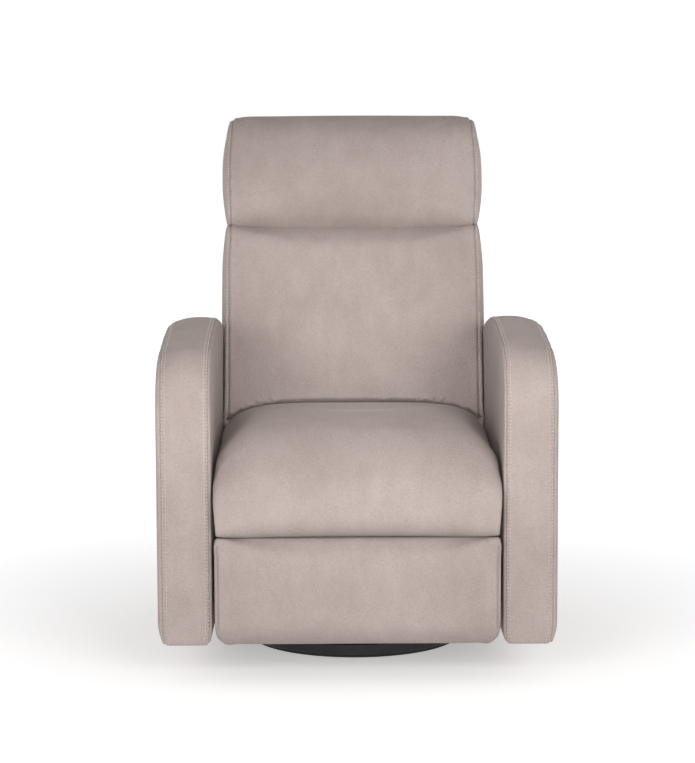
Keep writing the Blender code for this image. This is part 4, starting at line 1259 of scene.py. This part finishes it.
@dataclass(kw_only=True)
class RearPanel(PaddedPiece):
    """The low panel across the back of the carriage."""

    body: str = "carriage"
    padding: Padding = Padding(voxel=0.006, cap=0.004, settle=2)

    def outline(self) -> Cover:
        """Returns the flat panel."""
        return Cover("rear_panel_cover", [
            (0.3040, 0.080, 0.002), (0.3205, 0.080, 0.008), (0.3205, 0.333, 0.008), (0.3040, 0.333, 0.002),
        ], -0.2718, 0.2718, 0.003)

    def held(self, coords: Array) -> Array:
        """Holds the side that faces the frame."""
        return 1.0 - smooth_step(coords[:, 1], 0.306, 0.314)

    def press(self, coords: Array, normals: Array) -> Array:
        """Brings the panel to its full size between the arms."""
        return np.stack([
            spread(coords[:, 0], -0.2722, 0.2722), spread(coords[:, 1], 0.3034, 0.3235),
            spread(coords[:, 2], 0.0780, 0.3350),
        ], axis=1)

    def build(self, fabric: Fabric) -> None:
        """Builds, seams and dresses the panel."""
        cover = self.shape()
        hem = ((x, 0.6, 0.318) for x in np.linspace(-0.262, 0.262, 60))
        cover.groove(cover.traced(hem, Vector((0, -1, 0))), Seam(0.0014, 0.0026, 0.4, 0.25))
        cover.dress(fabric.suede, self.body, 0.9, "rear_panel")


# ---------------------------------------------------------------- carried-over hardware


class HardwareFinishes:
    """Gives every node that keeps its own shape the finish of its material slot."""

    def __init__(self) -> None:
        """Makes one material for each slot."""
        self.by_slot = {slot: finish.make() for slot, finish in SLOT_FINISHES.items()}

    def dress(self, suede: Material) -> None:
        """Assigns the materials.

        Args:
            suede: finish for the nodes of the upholstery slot.
        """
        slots = {part["node"]: part["material_slot"] for part in frame["record"]["subparts"]}
        for name, node in frame["nodes"].items():
            finish = self.by_slot.get(slots.get(name), suede)
            for material_slot in node.material_slots:
                material_slot.material = finish
        LOG.info("finished %d nodes", len(frame["nodes"]))


# ---------------------------------------------------------------- floor, light, camera


@dataclass(frozen=True)
class Studio:
    """A pale, glowing floor, even soft light and the camera.

    Attributes:
        eye: place of the camera.
        lens: its focal length in millimetres.
        pitch: how far it looks down, in degrees.
        heading: how far it is turned to its right, in degrees below zero.
        roll: how far it leans, in degrees.
    """

    eye: Point = (-0.057, -4.580, 1.0575)
    lens: float = 106.85
    pitch: float = 6.66
    heading: float = -0.538
    roll: float = -0.2

    def build(self) -> None:
        """Builds the floor, the lights and the camera."""
        self.floor()
        self.sky()
        self.softbox("key_light", 78.0, 2.4, (1.9, -3.9, 1.7), (0, 0, 0.50))
        self.softbox("fill_light", 64.0, 2.2, (-2.1, -3.9, 1.6), (0, 0, 0.45))
        self.back_light(540.0, 11.5, (-0.05, -3.6, 1.35), (0.01, 0.10, 0.53))
        self.camera()
        bpy.context.scene.view_settings.view_transform = "Standard"

    @staticmethod
    def ramped(
        tree: bpy.types.NodeTree, source: Socket, target: Socket,
        span: tuple[float, float], out: tuple[float, float],
    ) -> None:
        """Links source to target, mapped from span onto out and clamped."""
        node = tree.nodes.new("ShaderNodeMapRange")
        for socket, value in zip(("From Min", "From Max", "To Min", "To Max"), (*span, *out)):
            node.inputs[socket].default_value = value
        tree.links.new(source, node.inputs["Value"])
        tree.links.new(node.outputs["Result"], target)

    def floor(self) -> None:
        """Builds the pale floor, which glows: its emission, weaker near the chair and stronger away from it, is
        painted light that keeps the floor white and lights the chair's undersides.
        """
        form = bmesh.new()
        bmesh.ops.create_grid(form, x_segments=1, y_segments=1, size=30.0)
        ground = new_object("floor", form)
        pale = bpy.data.materials.new("glowing_pale_floor")
        pale.use_nodes = True
        tree = pale.node_tree
        shader = tree.nodes["Principled BSDF"]
        shader.inputs["Base Color"].default_value = (0.93, 0.93, 0.93, 1.0)
        shader.inputs["Roughness"].default_value = 0.9
        # painted light: the floor glows though it is no lamp
        shader.inputs["Emission Color"].default_value = (1.0, 1.0, 1.0, 1.0)
        distance = tree.nodes.new("ShaderNodeVectorMath")
        distance.operation = "LENGTH"
        tree.links.new(tree.nodes.new("ShaderNodeTexCoord").outputs["Object"], distance.inputs[0])
        strength = shader.inputs["Emission Strength"]
        self.ramped(tree, distance.outputs["Value"], strength, (0.45, 1.9), (0.38, 0.80))
        ground.data.materials.append(pale)

    def sky(self) -> None:
        """Gives the surroundings a white glow that is weaker overhead."""
        world = bpy.data.worlds.new("white_surround")
        bpy.context.scene.world = world
        world.use_nodes = True
        tree = world.node_tree
        glow = tree.nodes["Background"]
        glow.inputs["Color"].default_value = (1.0, 1.0, 1.0, 1.0)
        height = tree.nodes.new("ShaderNodeSeparateXYZ")
        tree.links.new(tree.nodes.new("ShaderNodeTexCoord").outputs["Generated"], height.inputs["Vector"])
        self.ramped(tree, height.outputs["Z"], glow.inputs["Strength"], (0.06, 0.30), (1.0, 0.34))

    @staticmethod
    def hang(lamp: bpy.types.Light, place: Point, aim: Point) -> None:
        """Hangs a light at its place, facing its aim."""
        holder = bpy.data.objects.new(lamp.name, lamp)
        holder.location = place
        holder.rotation_euler = (Vector(aim) - Vector(place)).to_track_quat("-Z", "Y").to_euler()
        bpy.context.scene.collection.objects.link(holder)

    def softbox(self, name: str, power: float, width: float, place: Point, aim: Point) -> None:
        """Adds one soft rectangular light."""
        lamp = bpy.data.lights.new(name, "AREA")
        lamp.shape = "RECTANGLE"
        lamp.size = width
        lamp.size_y = 1.6
        lamp.energy = power
        self.hang(lamp, place, aim)

    def back_light(self, power: float, cone: float, place: Point, aim: Point) -> None:
        """Adds a soft-edged light on the foot of the back."""
        lamp = bpy.data.lights.new("back_light", "SPOT")
        lamp.energy = power
        lamp.spot_size = math.radians(cone)
        lamp.spot_blend = 1.0
        lamp.shadow_soft_size = 0.35
        self.hang(lamp, place, aim)

    def camera(self) -> None:
        """Places the camera."""
        eye = bpy.data.cameras.new("camera")
        eye.lens = self.lens
        eye.clip_end = 100.0
        holder = bpy.data.objects.new("camera", eye)
        turn = (
            Matrix.Rotation(math.radians(self.heading), 4, "Z")
            @ Matrix.Rotation(math.radians(90 - self.pitch), 4, "X")
            @ Matrix.Rotation(math.radians(self.roll), 4, "Z")
        )
        holder.matrix_world = Matrix.Translation(self.eye) @ turn
        bpy.context.scene.collection.objects.link(holder)
        bpy.context.scene.camera = holder


def main() -> None:
    """Builds the chair's covers and finishes, then the studio round it."""
    logging.basicConfig(level=logging.INFO, format="%(asctime)s %(message)s")
    fabric = Fabric(SUEDE.make(), THREAD.make())
    HardwareFinishes().dress(fabric.suede)
    for part in (
        SeatCushion(), BackCushion(), Headrest(), FootrestPad(), Arm(side=-1, label="left"),
        Arm(side=1, label="right"), BackShell(), RearPanel(),
    ):
        part.build(fabric)
    Studio().build()


if __name__ == "__main__":
    main()
